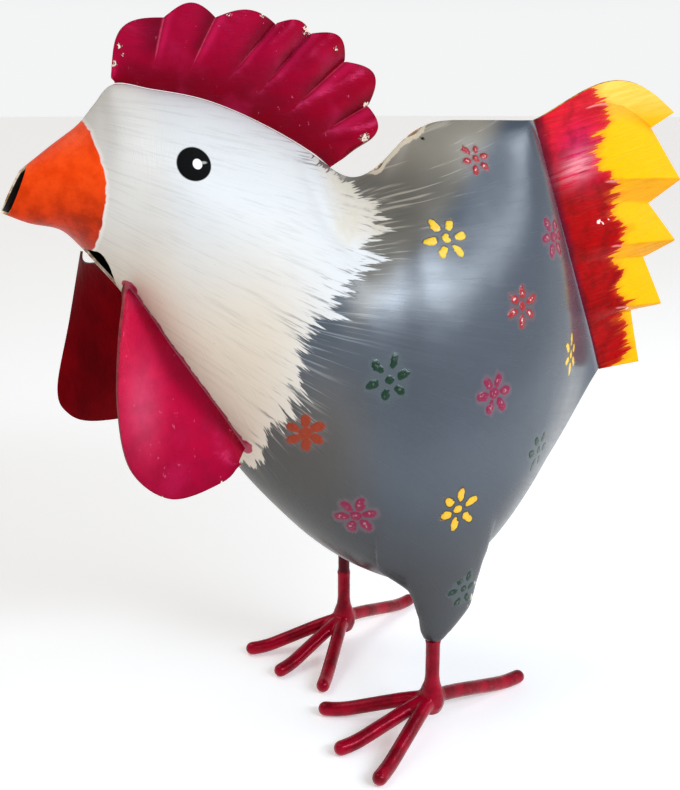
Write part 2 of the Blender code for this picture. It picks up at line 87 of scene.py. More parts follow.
# Hip, thigh and leg
HIP_X = 43.0 * MM
HIP_Y = 0.0 * MM
LEFT_THIGH_TIP_Z = 43.0 * MM
RIGHT_THIGH_TIP_Z = 51.0 * MM
THIGH_TIP_RADIUS = 3.9 * MM
THIGH_RADIUS = 14.5 * MM
THIGH_REACH = 27.0 * MM  # how far round the leg the body is drawn down
THIGH_NARROW = 0.62  # how much slimmer it is from side to side
THIGH_LEAN = 5.0 * MM  # how far back its middle lies
THIGH_HEIGHT = 34.0 * MM
THIGH_FADE = 24.0 * MM  # how far above the thigh the body is still drawn
LEG_RADIUS = 3.2 * MM
KNOB_RADIUS = 5.8 * MM
KNOB_Z = 14.0 * MM
# Height over the knob's middle, and radius there, as shares of the knob's radius
KNOB_OUTLINE = ((-1.30, 0.35), (-1.05, 0.75), (-0.45, 0.98), (0.30, 1.0), (0.85, 0.82))

# The slit at the throat, in shares of the way along
THROAT_START = 0.165
THROAT_END = 0.265
THROAT_WIDTH = 10.0 * MM
BEAK_SHORT = 0.013  # share by which the near half stops short of the far one at the beak

TOE_RADIUS = 3.3 * MM
# Degrees from straight ahead, and reach in millimetres
LEFT_TOES = ((-37.0, 51.5), (2.5, 49.5), (34.0, 53.5), (193.0, 61.0))
RIGHT_TOES = ((51.5, 52.5), (21.0, 49.0), (-12.0, 51.0), (203.0, 59.0))
TOE_ROOT_Z = 14.5 * MM
TOE_FLAT = 7.0 * MM
FOOT_VOXEL = 0.55 * MM
# painted shade: the right leg's rod above this height is near black, for the shade under the belly
RIGHT_THIN_SHADED_Z = 39.7 * MM  # above this the right leg's rod is thinner and dark
WELD_LUMP = 0.45 * MM

# Comb: the notches (y, z) in its edge, how far each lobe bulges as a share of its width, and the
# stretch of the top seam that it stands on
COMB_NOTCHES = ((-117.6, 279.0), (-96.5, 300.0), (-76.4, 300.4), (-51.3, 298.6), (-36.3, 295.3),
                (-21.2, 285.0), (-10.5, 267.7), (-13.7, 252.0))
COMB_BULGES = (0.30, 0.26, 0.16, 0.22, 0.30, 0.36, 0.28)
COMB_START = 0.225
COMB_END = 0.578
COMB_PLEAT = 2.2 * MM
# Chips in the paint: y, z and radius in millimetres, for every piece
COMB_CHIPS = ((-57.5, 302.3, 1.5), (-38.5, 297.5, 2.0), (-12.0, 268.5, 1.3), (-13.6, 255.0, 1.7),
              (-114.5, 289.5, 0.8), (-116.4, 283.5, 0.9), (-113.8, 286.5, 0.6), (-71.5, 301.5, 0.8),
              (-27.0, 290.0, 0.8))

# Tail: the points and notches (y, z) of its free edge, from the top down
TAIL_TIPS = ((152.0, 264.0), (159.0, 232.4), (158.8, 203.0), (153.0, 172.0), (141.4, 143.4))
TAIL_NOTCHES = ((143.6, 256.6), (145.8, 221.0), (145.0, 194.8), (139.2, 169.0))
TAIL_ARCH = 15.5 * MM
TAIL_ARCH_FADE = 0.30
TAIL_PLEAT = 3.2 * MM
TAIL_NOTCH_PART = 0.2  # share of a panel from its tip back to its notch
TAIL_CHIPS = ((113.0, 214.0, 1.1), (115.5, 213.0, 0.7), (119.0, 214.5, 0.6), (88.5, 269.5, 0.9),
              (133.0, 171.0, 0.7))
# Where the tail's red meets its yellow: height and y, in millimetres
TAIL_BORDER = ((277.0, 103.0), (274.9, 103.6), (264.2, 118.0), (254.0, 111.0), (245.0, 107.0),
               (240.0, 112.0), (231.0, 122.5), (217.0, 121.3), (212.0, 131.5), (205.0, 129.0),
               (199.6, 126.4), (194.0, 124.4), (186.0, 131.0), (180.0, 127.5), (173.8, 131.2),
               (165.7, 132.5), (159.5, 133.7), (151.6, 135.5), (146.9, 132.2), (143.0, 126.0))

# Wattles: the stretch of the body that each hangs on, how far down the section that is, how far
# its free edge stands aside in millimetres, and the points (y, z) of that edge
LEFT_WATTLE = dict(start=0.275, end=0.53, down=0.90, stand=22.0,
                   chips=((-113.0, 120.5, 1.0), (-88.0, 123.0, 0.7)),
                   free=((-122.5, 206.5), (-126.5, 184.0), (-128.3, 158.3), (-124.5, 133.5),
                         (-109.0, 119.5), (-88.0, 123.0), (-79.5, 129.5)))
RIGHT_WATTLE = dict(start=0.235, end=0.49, down=0.90, stand=22.0,
                    chips=((-120.0, 143.0, 0.6), (-138.0, 160.0, 0.5)),
                    free=((-127.5, 212.5), (-134.0, 185.0), (-140.8, 158.0), (-137.5, 147.2),
                          (-127.0, 142.3), (-105.0, 143.0), (-91.0, 149.0)))
WATTLE_DISH = 3.0 * MM

# Paint borders, in millimetres, and degrees round the middle of the head. The rays are the points
# that the brush strokes fan out from.
HEAD_MIDDLE = (-100.0, 245.0)
NECK_RAYS = (-115.0, 222.0)
BODY_RAYS = (-120.0, 205.0)
FACE_RAYS = (-230.0, 288.0)
WHITE_BORDER = ((-60.0, 60.0), (-10.0, 64.0), (0.3, 66.3), (5.6, 77.5), (11.0, 86.2), (16.1, 90.3),
                (25.9, 86.0), (34.5, 80.0), (43.5, 78.2), (52.0, 77.1), (59.2, 80.2), (63.4, 94.4),
                (68.7, 99.5), (72.7, 107.8), (75.2, 118.8), (78.0, 130.0), (95.0, 135.0))
BEAK_BORDER = ((215.0, -131.0), (222.3, -129.7), (229.5, -128.5), (237.8, -127.4), (246.6, -127.4),
               (255.1, -128.9), (262.2, -129.7), (268.0, -131.0))
EYE = (-95.5, 248.0, 6.7, 6.0)  # y, z, half length, half height
EYE_DOT = (1.3, 1.95)  # how far behind the eye's middle its white dot lies, and the dot's radius
EYE_TICK = (3.8, 0.4, 1.6, 0.6)  # y and z from the eye's middle, half length, half height

# A shallow fold in the near side of the neck: y, z
NECK_FOLD = ((-45.5, 250.0), (-44.5, 238.0), (-40.0, 222.0), (-27.0, 208.0))
NECK_FOLD_WIDTH = 3.2  # in millimetres
NECK_FOLD_DEPTH = 0.55 * MM

# Where the back seam gapes: share of the way along, and how long the gape is
SEAM_GAPS = ((0.672, 0.012), (0.742, 0.014))
SEAM_GAP_OUT = 1.7 * MM
SEAM_GAP_DROP = 0.7 * MM
SEAM_WEAR = (0.645, 0.775)
SEAM_HOLE = (12.9, 254.4, 1.5, 0.8)  # y, z, half length, half height

THIGH_CHIPS = ((15.5, 64.0, 1.0), (17.0, 60.5, 1.3), (14.0, 57.0, 0.9), (18.5, 67.0, 0.8), (4.5, 46.5, 1.0))

# Dabbed flowers: y, z, kind, distance of the petals from the middle, turn in degrees
FLOWERS = (
    (34.7, 246.6, "red", 5.0, 12), (10.7, 215.1, "yellow", 6.5, 8), (69.8, 211.7, "magenta", 6.2, 0),
    (43.9, 186.0, "red", 6.0, 20), (82.0, 157.3, "yellow", 6.4, 20), (-22.6, 161.2, "green", 6.9, 12),
    (25.1, 152.7, "magenta", 6.0, 4), (-55.3, 142.1, "orange", 5.6, 30), (57.6, 118.8, "green", 6.6, 0),
    (5.8, 105.1, "outlined", 6.4, 18), (-35.6, 104.6, "magenta", 6.0, 10), (10.5, 67.5, "green", 5.6, 0),
)

# Studio: metres, degrees and watts
FLOOR_RADIUS = 12.0
FLOOR_GLOW = 0.30
SKY = ((0.06, (0.90, 0.905, 0.91)), (0.75, (0.26, 0.25, 0.24)))
# Lamps in a row: degrees round from the rooster's left, degrees up, power
LAMPS = ((0.0, 37.0, 0.8), (7.0, 34.0, 1.5), (14.0, 31.0, 2.0), (21.0, 28.0, 1.8), (28.0, 25.0, 1.4),
         (36.0, 22.5, 1.0), (44.0, 23.0, 0.7), (51.0, 27.0, 0.6), (57.0, 33.0, 0.6), (63.0, 40.0, 0.8),
         (68.0, 46.0, 0.8))
LAMP_AWAY = 1.2
LAMP_SIZE = 0.20
LAMP_COLOUR = (0.79, 0.89, 1.0)
LAMP_AIM_Z = 0.17
SUN_STRENGTH = 0.66
SUN_WIDTH = 35
SUN_TURN = (24, 0, -35)
SUN_COLOUR = (1.0, 0.97, 0.92)
FOCAL_SHARE = 1100 / 790  # focal length as a share of the picture's longer side
SENSOR = 36
CAMERA_PLACE = (0.40943, -0.23245, 0.27407)
CAMERA_AIM = (-0.00343, -0.0239, 0.1458)


def linear(text):
    """A hex colour as linear light."""
    parts = [int(text[i:i + 2], 16) / 255 for i in (0, 2, 4)]
    return tuple(c / 12.92 if c <= 0.04045 else ((c + 0.055) / 1.055) ** 2.4 for c in parts)


# Kinds of flower: colour, smear round it, dark outline, bright glints
FLOWER_KINDS = {
    "red": (linear("9c1c24"), 0.35, 0.25, 0.8),
    "yellow": (linear("eec22c"), 0.05, 0.55, 0.10),
    "magenta": (linear("84163f"), 0.45, 0.0, 0.3),
    "green": (linear("05301f"), 0.45, 0.0, 0.1),
    "orange": (linear("93300e"), 0.20, 0.0, 0.0),
    "outlined": (linear("efb822"), 0.0, 1.0, 0.15),
}
# Wattle crimson: the plain tone, the painted highlight across the middle, the painted shade at the root
WATTLE_TONES = (linear("a4042c"), linear("be0838"), linear("80001a"))
FUSED = {"orange": 1.0, "magenta": 0.7, "red": 0.2}  # how far a kind's petals run together
PETALS = 6.0
# How far from its middle a flower's own places, its petals and its colour go, in petal distances
FLOWER_FIELD = 2.6
FLOWER_FADE = 2.3
FLOWER_HALO = 3.4


def ease(x):
    """0 below 0, 1 above 1 and smooth between."""
    x = np.clip(x, 0.0, 1.0)
    return x * x * (3.0 - 2.0 * x)


def spline(knots, values, at):
    """A smooth curve through values at the given knots, with slopes from the neighbours."""
    knots = np.array(knots, float)
    values = np.asarray(values, float)
    slopes = np.gradient(values, knots, axis=0)
    i = np.clip(np.searchsorted(knots, at, side="right") - 1, 0, len(knots) - 2)
    span = knots[i + 1] - knots[i]
    t = (at - knots[i]) / span
    h00 = 2 * t**3 - 3 * t**2 + 1
    h10 = t**3 - 2 * t**2 + t
    h01 = -2 * t**3 + 3 * t**2
    h11 = t**3 - t**2
    return h00 * values[i] + h10 * span * slopes[i] + h01 * values[i + 1] + h11 * span * slopes[i + 1]


SHARES = np.array([row[0] for row in STATIONS])
LENGTHS = np.array([row[1:6] for row in STATIONS]) * MM
SHAPES = np.array([row[6:9] for row in STATIONS])


def top_seam(share):
    """The top seam's point (y, z) at a share of the way along."""
    return spline(SHARES, LENGTHS[:, 0:2], share)


def section_row(share, alongs, throat_width):
    """Points of the left outer skin at one station, at shares of its length from seam to seam."""
    down = 0.5 - 0.5 * np.cos(np.linspace(0.0, math.pi, 181))
    top_y, top_z, bottom_y, bottom_z, half_width = spline(SHARES, LENGTHS, share)
    widest, top_blunt, bottom_blunt = spline(SHARES, SHAPES, share)
    upper = down < widest
    reach = np.where(upper, 1.0 - down / widest, (down - widest) / (1.0 - widest))
    blunt = np.where(upper, top_blunt, bottom_blunt)
    bulge = np.clip(1.0 - np.abs(reach) ** SECTION_FULLNESS, 0.0, 1.0) ** (1.0 / blunt)
    x = SEAM_HALF + (half_width - SEAM_HALF) * bulge
    curve = np.stack([x, top_y + (bottom_y - top_y) * down, top_z + (bottom_z - top_z) * down], axis=-1)
    through = (share - THROAT_START) / (THROAT_END - THROAT_START)
    if throat_width and 0.0 < through < 1.0:
        lower = np.arange(len(down)) > len(down) // 2
        curve = curve[~(lower & (x < SEAM_HALF + throat_width * math.sin(math.pi * through)))]
    steps = np.linalg.norm(np.diff(curve, axis=0), axis=1)
    length = np.concatenate([[0.0], np.cumsum(steps)])
    return np.stack([np.interp(alongs * length[-1], length, curve[:, k]) for k in range(3)], axis=-1)


def pull_thigh(points, tip_z):
    """Draws the body's lower wall down into the thigh that holds the leg."""
    aside = (points[..., 0] - HIP_X) / THIGH_NARROW
    behind = points[..., 1] - HIP_Y
    share = np.maximum(np.hypot(aside, behind), 1e-9) / THIGH_REACH
    radius = np.array([0.0, THIGH_TIP_RADIUS, THIGH_RADIUS * 0.60, THIGH_RADIUS * 0.88, THIGH_RADIUS,
                       THIGH_RADIUS * 1.12, THIGH_REACH * 0.76, THIGH_REACH])
    height = THIGH_HEIGHT * np.array([0.0, 0.0, 0.20, 0.37, 0.52, 0.66, 0.80, 1.0])
    length = np.concatenate([[0.0], np.cumsum(np.hypot(np.diff(radius), np.diff(height)))])
    at = np.clip(share, 0.0, 1.0) * length[-1]
    ring = np.interp(at, length, radius)
    rise = np.interp(at, length, height)
    neck = ease(rise / (THIGH_HEIGHT * 0.4))
    narrow = 1.0 + (THIGH_NARROW - 1.0) * neck
    lean = THIGH_LEAN * neck * (1.0 - ease((ring - THIGH_RADIUS) / (THIGH_REACH - THIGH_RADIUS)))
    z = points[..., 2]
    weight = 1.0 - ease((z - tip_z - THIGH_HEIGHT) / THIGH_FADE)
    weight = np.where(share < 1.0, weight, 0.0)
    out = points.copy()
    out[..., 0] += weight * (HIP_X + aside / (share * THIGH_REACH) * ring * narrow - points[..., 0])
    out[..., 1] += weight * (HIP_Y + lean + behind / (share * THIGH_REACH) * ring - points[..., 1])
    low = tip_z + rise
    mix = np.clip(0.5 + 0.5 * (low - z) / (THIGH_HEIGHT * 0.1), 0.0, 1.0)
    softest = low + (z - low) * mix - THIGH_HEIGHT * 0.1 * mix * (1.0 - mix)
    out[..., 2] += weight * (softest - z)
    out[..., 2] = np.maximum(out[..., 2], tip_z)
    return out


def spread_lines(count, bumps):
    """Shares from 0 to 1, closer together round each (middle, width, extra) bump."""
    at = np.linspace(0.0, 1.0, 2001)
    density = np.ones_like(at)
    for middle, width, extra in bumps:
        density += extra * np.exp(-((at - middle) / width) ** 2)
    total = np.concatenate([[0.0], np.cumsum((density[1:] + density[:-1]) / 2)])
    return np.interp(np.linspace(0.0, total[-1], count), total, at)


def grid_normals(points):
    """Unit normals of a grid of points, along the cross of its two directions."""
    along = np.gradient(points, axis=0)
    across = np.gradient(points, axis=1)
    normal = np.cross(across, along)
    return normal / np.maximum(np.linalg.norm(normal, axis=-1, keepdims=True), 1e-12)


def wander(points, scale, seed):
    """Smooth noise from -1 to 1 at each point."""
    flat = points.reshape(-1, 3)
    values = [noise.noise(Vector(p * scale) + Vector((seed, 0, 0))) for p in flat]
    return np.array(values).reshape(points.shape[:-1])


def grid_faces(rows, columns):
    """Four-sided faces between a grid's points, which are numbered row by row."""
    faces = []
    for i in range(rows - 1):
        for j in range(columns - 1):
            a = i * columns + j
            faces.append((a, a + columns, a + columns + 1, a + 1))
    return faces


def grid_rim(rows, columns):
    """Pairs of neighbouring points round a grid's edge."""
    loop = list(range(columns))
    loop += [i * columns + columns - 1 for i in range(1, rows)]
    loop += [(rows - 1) * columns + j for j in range(columns - 2, -1, -1)]
    loop += [i * columns for i in range(rows - 2, 0, -1)]
    return list(zip(loop, loop[1:] + loop[:1]))


def add(name, data):
    """A new object in the scene."""
    obj = bpy.data.objects.new(name, data)
    bpy.context.scene.collection.objects.link(obj)
    return obj


def shell(name, outer, inner, materials, fields, side=1):
    """A closed sheet from two skins of one grid: outside, cut edge and inside each have a material.

    fields are values at each grid point, which the paint reads.
    """
    rows, columns = outer.shape[:2]
    count = rows * columns
    skins = np.concatenate([outer.reshape(-1, 3), inner.reshape(-1, 3)])
    skins = skins * np.array([side, 1, 1]) + np.array([MIDDLE_X, 0, 0])
    faces = grid_faces(rows, columns)
    quads = faces + [tuple(i + count for i in reversed(f)) for f in faces]
    index = [0] * len(faces) + [2] * len(faces)
    for a, b in grid_rim(rows, columns):
        quads.append((b, a, a + count, b + count))
        index.append(1)
    mesh = bpy.data.meshes.new(name)
    mesh.from_pydata(skins.tolist(), [], quads)
    mesh.polygons.foreach_set("material_index", index)
    for key, values in fields.items():
        values = np.asarray(values, float).reshape(count, -1)
        values = np.concatenate([values, values]).astype(np.float32)
        kind, member = "FLOAT_VECTOR", "vector"
        if values.shape[1] == 1:
            kind, member = "FLOAT", "value"
        elif key.endswith("colour"):
            kind, member = "FLOAT_COLOR", "color"
            values = np.concatenate([values, np.ones((2 * count, 1), np.float32)], axis=1)
        mesh.attributes.new(key, kind, "POINT").data.foreach_set(member, values.ravel())
    for material in materials:
        mesh.materials.append(material)
    bm = bmesh.new()
    bm.from_mesh(mesh)
    bmesh.ops.recalc_face_normals(bm, faces=bm.faces)
    bm.to_mesh(mesh)
    bm.free()
    mesh.shade_smooth()
    mesh.set_sharp_from_angle(angle=math.radians(45))
    return add(name, mesh)


def nearest_chip(y, z, chips):
    """Distance to the nearest chip's middle, in that chip's own radii."""
    return np.min([np.hypot(y - cy, z - cz) / r for cy, cz, r in chips], axis=0)


def glow(y, z, middle, widths):
    """A soft patch, 1 at its middle, that fades over its widths along y and z."""
    return np.exp(-((y - middle[0]) / widths[0]) ** 2 - ((z - middle[1]) / widths[1]) ** 2)


def nearest(points, line):
    """Distance in millimetres from each point to a dense line of points."""
    best = np.full(points.shape[:-1], 1e9)
    for p in line:
        best = np.minimum(best, np.linalg.norm(points - p, axis=-1))
    return best / MM


def mix(a, b, share):
    """From colour a to colour b, by a share at each point."""
    share = np.asarray(share)[..., None]
    return np.asarray(a) * (1 - share) + np.asarray(b) * share


class Nodes:
    """One material's node tree, a short call for each node."""

    def __init__(self, name):
        self.material = bpy.data.materials.new(name)
        self.material.use_nodes = True
        self.tree = self.material.node_tree
        self.shader = self.tree.nodes["Principled BSDF"]
        self.place = self.scale(self.node("TexCoord").outputs["Object"], 1 / MM)

    def put(self, socket, value):
        """Links a socket to another node's output, or gives it a value."""
        if isinstance(value, bpy.types.NodeSocket):
            self.tree.links.new(value, socket)
        elif socket.type == "RGBA":
            socket.default_value = (*value, 1.0)
        else:
            socket.default_value = value

    def node(self, kind, *values, **settings):
        """A new node with its settings, and values for its first inputs."""
        node = self.tree.nodes.new("ShaderNode" + kind)
        for key, value in settings.items():
            setattr(node, key, value)
        for socket, value in zip(node.inputs, values):
            self.put(socket, value)
        return node

    def field(self, name, output="Fac"):
        """One of the piece's own fields."""
        return self.node("Attribute", attribute_name=name).outputs[output]

    def colour(self, name):
        return self.field(name, "Color")

    def vector(self, name):
        return self.field(name, "Vector")

    def math(self, operation, *values):
        return self.node("Math", *values, operation=operation).outputs[0]

    def times(self, a, b):
        return self.math("MULTIPLY", a, b)

    def plus(self, a, b):
        return self.math("ADD", a, b)

    def minus(self, a, b):
        return self.math("SUBTRACT", a, b)

    def over(self, a, b):
        return self.math("DIVIDE", a, b)

    def times_plus(self, a, b, c):
        return self.math("MULTIPLY_ADD", a, b, c)

    def shake(self, noise, width, value):
        """A value moved to either side by a noise that lies between 0 and 1."""
        return self.times_plus(self.minus(noise, 0.5), width, value)

    def scale(self, vector, by):
        node = self.node("VectorMath", vector, operation="SCALE")
        self.put(node.inputs["Scale"], by)
        return node.outputs["Vector"]

    def split(self, vector):
        return self.node("SeparateXYZ", vector).outputs

    def join(self, x, y, z):
        return self.node("CombineXYZ", x, y, z).outputs[0]

    def length(self, a, b):
        return self.node("VectorMath", self.join(a, b, 0.0), operation="LENGTH").outputs["Value"]

    def noise(self, vector, scales, detail=2.0, rough=0.5, shift=0.0):
        """Noise from 0 to 1, with one scale or one for each axis."""
        if not isinstance(scales, tuple):
            scales = (scales,) * 3
        shifts = (shift,) * 3
        moved = self.node("VectorMath", vector, scales, shifts, operation="MULTIPLY_ADD").outputs[0]
        node = self.node("TexNoise", moved)
        for key, value in (("Scale", 1.0), ("Detail", detail), ("Roughness", rough)):
            self.put(node.inputs[key], value)
        return node.outputs[0]

    def ramp(self, value, low, high, to_low=0.0, to_high=1.0):
        """Eases a value's stretch from low to high over to another one, and holds it beyond."""
        return self.node("MapRange", value, low, high, to_low, to_high,
                         interpolation_type="SMOOTHSTEP").outputs[0]

    def blend(self, share, a, b):
        """Between two colours."""
        node = self.node("Mix", share, data_type="RGBA")
        self.put(node.inputs[6], a)
        self.put(node.inputs[7], b)
        return node.outputs[2]

    def level(self, share, a, b):
        """Between two numbers."""
        node = self.node("Mix", share, data_type="FLOAT")
        self.put(node.inputs[2], a)
        self.put(node.inputs[3], b)
        return node.outputs[0]

    def finish(self, colour, rough, height=None, specular=0.5, tint=None):
        """The finished material, with a bump where a height in millimetres is given."""
        inputs = self.shader.inputs
        self.put(inputs["Base Color"], colour)
        self.put(inputs["Roughness"], rough)
        self.put(inputs["Specular IOR Level"], specular)
        if tint is not None:
            self.put(inputs["Specular Tint"], tint)
        if height is not None:
            bump = self.node("Bump")
            bump.inputs["Strength"].default_value = 1.0
            bump.inputs["Distance"].default_value = MM
            self.put(bump.inputs["Height"], height)
            self.put(inputs["Normal"], bump.outputs[0])
        return self.material


def petals(n, ground, height):
    """Dabbed flowers over a ground colour: petals round a middle dot, with smears and outlines."""
    colour = n.colour("flower_colour")
    fused = n.field("flower_fused")
    across, up, number = n.split(n.vector("flower"))
    smear, outline, glint = n.split(n.vector("flower_look"))

    # the point's turn and distance, unevenly shaken
    a = n.shake(n.noise(n.place, 0.45, 1.0), 0.36, across)
    b = n.shake(n.noise(n.place, 0.16, 1.0, 0.5, 7.0), 0.34, up)
    radius = n.times_plus(n.minus(1.0, n.field("flower_near")), 9.0, n.length(a, b))
    steps = n.times_plus(n.math("ARCTAN2", b, a), PETALS / (2 * math.pi), 0.5)
    petal = n.math("FLOOR", steps)
    off = n.times(n.minus(n.minus(steps, petal), 0.5), 2 * math.pi / PETALS)

    # each petal is an oval whose length and distance are its own
    own = n.join(n.times(n.math("FLOORED_MODULO", petal, PETALS), 1.7), number, 0.0)
    luck = n.node("TexWhiteNoise", own, noise_dimensions="2D").outputs["Value"]
    out = n.minus(n.times(radius, n.math("COSINE", off)), n.times_plus(luck, 0.26, 0.87))
    long = n.plus(n.times_plus(luck, 0.14, 0.36), n.times(fused, 0.16))
    wide = n.times_plus(fused, 0.10, 0.265)
    far = n.length(n.over(out, long), n.over(n.times(radius, n.math("SINE", off)), wide))
    dot = n.over(radius, n.times_plus(fused, 0.24, 0.27))
    shape = n.math("MINIMUM", far, dot)
    inside = n.ramp(shape, 1.06, 0.92)

    # smear and dark outline round the dabs, specks and glints in them
    rim = n.times(n.ramp(shape, 1.42, 1.15), outline)
    wet = n.math("MINIMUM", n.times(shape, 0.55), n.times(radius, 0.72))
    haze = n.times(n.ramp(wet, 1.1, 0.75), smear)
    ground = n.blend(haze, ground, n.blend(0.62, colour, (0.10, 0.12, 0.14)))
    ground = n.blend(rim, ground, (0.022, 0.016, 0.010))
    speck = n.noise(n.place, 0.9, 1.0, 0.5, 3.0)
    bright = n.times(n.times(n.ramp(shape, 0.62, 0.25), n.ramp(speck, 0.50, 0.62)), glint)
    dab = n.blend(n.ramp(speck, 0.3, 0.75, 0.0, 0.35), colour, n.scale(colour, 0.55))
    dab = n.blend(bright, dab, (0.86, 0.62, 0.60))
    ground = n.blend(inside, ground, dab)
    height = n.times_plus(n.ramp(shape, 1.15, 0.55), 0.22, height)
    return ground, height, inside


def body_paint(name, shift):
    """White feathered head and neck over a grey body, orange beak, black eye and dabbed flowers."""
    n = Nodes(name)
    edge = n.field("white_edge")
    stroke = n.vector("stroke")

    # the white's edge, ragged by long strokes of three widths
    broad = n.noise(stroke, (0.030, 0.17, 0.17), 1.0, 0.5, shift)
    middle = n.noise(stroke, (0.050, 0.52, 0.52), 2.0, 0.6, shift)
    fine = n.noise(stroke, (0.070, 1.60, 1.60), 3.0, 0.65, shift)
    ragged = n.shake(broad, 16.0, edge)
    ragged = n.shake(middle, 26.0, ragged)
    ragged = n.shake(fine, 22.0, ragged)
    white = n.ramp(ragged, 1.3, -1.0)

    # grey side, which carries painted reflection and painted shade: soft mottling, light scratches that fade
    # away from the white
    grey = n.colour("grey_and_shade_colour")
    patch = n.noise(n.place, 0.035, 3.0, 0.6, shift)
    grey = n.blend(n.ramp(patch, 0.35, 0.7, 0.0, 0.30), grey, n.scale(grey, 0.72))
    brush = n.vector("brush")
    hair = n.noise(brush, (0.030, 1.00, 1.00), 2.0, 0.6, shift + 11.0)
    near = n.math("MAXIMUM", n.ramp(edge, 28.0, 2.0, 0.0, 0.50), n.times(n.field("brown_reflection"), 0.80))
    scratch = n.times(n.ramp(hair, 0.53, 0.70), near)
    grey = n.blend(scratch, grey, n.colour("scratch_colour"))
    deep = n.times(n.ramp(hair, 0.46, 0.32), n.ramp(edge, 24.0, 0.0, 0.0, 0.5))
    grey = n.blend(deep, grey, n.scale(grey, 0.55))

    # white side: cream towards the throat, hairlines that darken towards the strokes' ends
    pale = n.colour("pale_colour")
    line = n.noise(n.vector("face_brush"), (0.055, 2.0, 2.0), 3.0, 0.65, shift + 23.0)
    pale = n.blend(n.ramp(line, 0.46, 0.74, 0.0, 0.50), pale, n.scale(pale, 0.74))
    gaps = n.times(n.ramp(line, 0.57, 0.66), n.ramp(edge, -20.0, -2.0, 0.0, 0.8))
    pale = n.blend(gaps, pale, (0.15, 0.14, 0.13))
    grime = n.noise(n.place, 0.13, 4.0, 0.6, shift + 2.0)
    grime = n.times(n.ramp(grime, 0.42, 0.62), n.field("nape"))
    pale = n.blend(grime, pale, (0.56, 0.51, 0.41))
    speck = n.noise(n.place, 0.22, 3.0, 0.7, shift)
    pale = n.blend(n.ramp(speck, 0.735, 0.775, 0.0, 0.7), pale, (0.30, 0.24, 0.17))

    colour = n.blend(white, grey, pale)
    height = n.times(n.times(fine, white), 0.10)
    height = n.times_plus(white, 0.08, height)
    height = n.times_plus(hair, 0.014, height)
    colour, height, dabs = petals(n, colour, height)

    # beak: brighter above, mottled and darker below, with a pale halo where it meets the white
    beak = n.field("beak")
    wobble = n.noise(n.place, 0.30, 2.0, 0.5, shift)
    beak = n.shake(wobble, 1.6, beak)
    mottle = n.noise(n.place, 0.16, 4.0, 0.62, shift + 3.0)
    orange = n.blend(n.ramp(mottle, 0.35, 0.68), n.colour("beak_colour"), n.colour("beak_low_colour"))
    colour = n.blend(n.ramp(beak, -1.6, -0.3, 0.0, 0.5), colour, (0.90, 0.80, 0.72))
    beaked = n.ramp(beak, -0.25, 0.25)
    colour = n.blend(beaked, colour, orange)
    height = n.times_plus(n.times(mottle, beaked), 0.45, height)

    # eye: a black disc with a white dot and a small tick behind it
    eye_y, eye_z, eye_long, eye_high = EYE
    across = n.minus(n.split(n.place)[1], eye_y)
    up = n.minus(n.split(n.place)[2], eye_z)
    eye = n.ramp(n.length(n.over(across, eye_long), n.over(up, eye_high)), 1.03, 0.96)
    colour = n.blend(eye, colour, (0.002, 0.002, 0.002))
    behind, radius = EYE_DOT
    dot = n.length(n.minus(across, behind), up)
    tick_y, tick_z, long, high = EYE_TICK
    tick = n.length(n.over(n.minus(across, tick_y), long), n.over(n.minus(up, tick_z), high))
    spot = n.math("MAXIMUM", n.ramp(dot, radius, radius - 0.2), n.ramp(tick, 1.1, 0.5, 0.0, 0.4))
    colour = n.blend(spot, colour, (0.85, 0.84, 0.80))
    height = n.times_plus(eye, 0.25, height)

    # crimson that ran over from the comb and wattles, bare primer, and painted shade: near black where the
    # back seam has a hole, for its dark inside
    joint = n.shake(wobble, 2.2, n.field("joint"))
    colour = n.blend(n.ramp(joint, 1.5, 0.9), colour, (0.36, 0.004, 0.045))
    bare_and_shade = n.shake(n.noise(n.place, 0.5, 3.0, 0.65, shift), 2.6, n.field("bare_and_shade"))
    colour = n.blend(n.ramp(bare_and_shade, -0.2, 0.5), colour, (0.55, 0.47, 0.34))
    shaded_hole = n.shake(wobble, 1.0, n.field("shaded_hole"))
    dark = n.ramp(shaded_hole, 1.0, 0.5)
    colour = n.blend(dark, colour, (0.006, 0.005, 0.004))

    # glossiest on the grey, least on the white, and hardly any shine on petals and black paint
    gloss = n.ramp(hair, 0.3, 0.7, 0.24, 0.28)
    gloss = n.level(white, gloss, 0.46)
    gloss = n.level(beaked, gloss, 0.34)
    dents = n.noise(n.place, 0.03, 2.0, 0.5, shift)
    height = n.times_plus(dents, 0.5, height)
    shine = n.blend(beaked, (1.0, 1.0, 1.0), (0.60, 0.20, 0.08))
    shine = n.blend(n.times(dabs, 0.6), shine, (0.0, 0.0, 0.0))
    shine = n.blend(n.math("MAXIMUM", eye, dark), shine, (0.02, 0.02, 0.02))
    return n.finish(colour, gloss, height, specular=0.62, tint=shine)


def edge_paint(name, colour, dirt):
    """A sheet's cut edge: thin bright paint or primer with grubby breaks in it."""
    n = Nodes(name)
    wear = n.noise(n.place, 0.25, 4.0, 0.7)
    tone = n.blend(n.ramp(wear, 0.42, 0.62), colour, dirt)
    return n.finish(tone, n.ramp(wear, 0.3, 0.7, 0.35, 0.6), n.times(wear, 0.3))


def inside_paint(name, colour, dusted):
    """The dull inside of the hollow sheet, painted near black for the shade inside it, thinly dusted with
    overspray.
    """
    n = Nodes(name)
    dust = n.noise(n.place, 0.12, 4.0, 0.7)
    tone = n.blend(n.ramp(dust, 0.45, 0.75, 0.0, 0.5), colour, dusted)
    return n.finish(tone, n.ramp(dust, 0.3, 0.7, 0.55, 0.8), n.times(dust, 0.3))


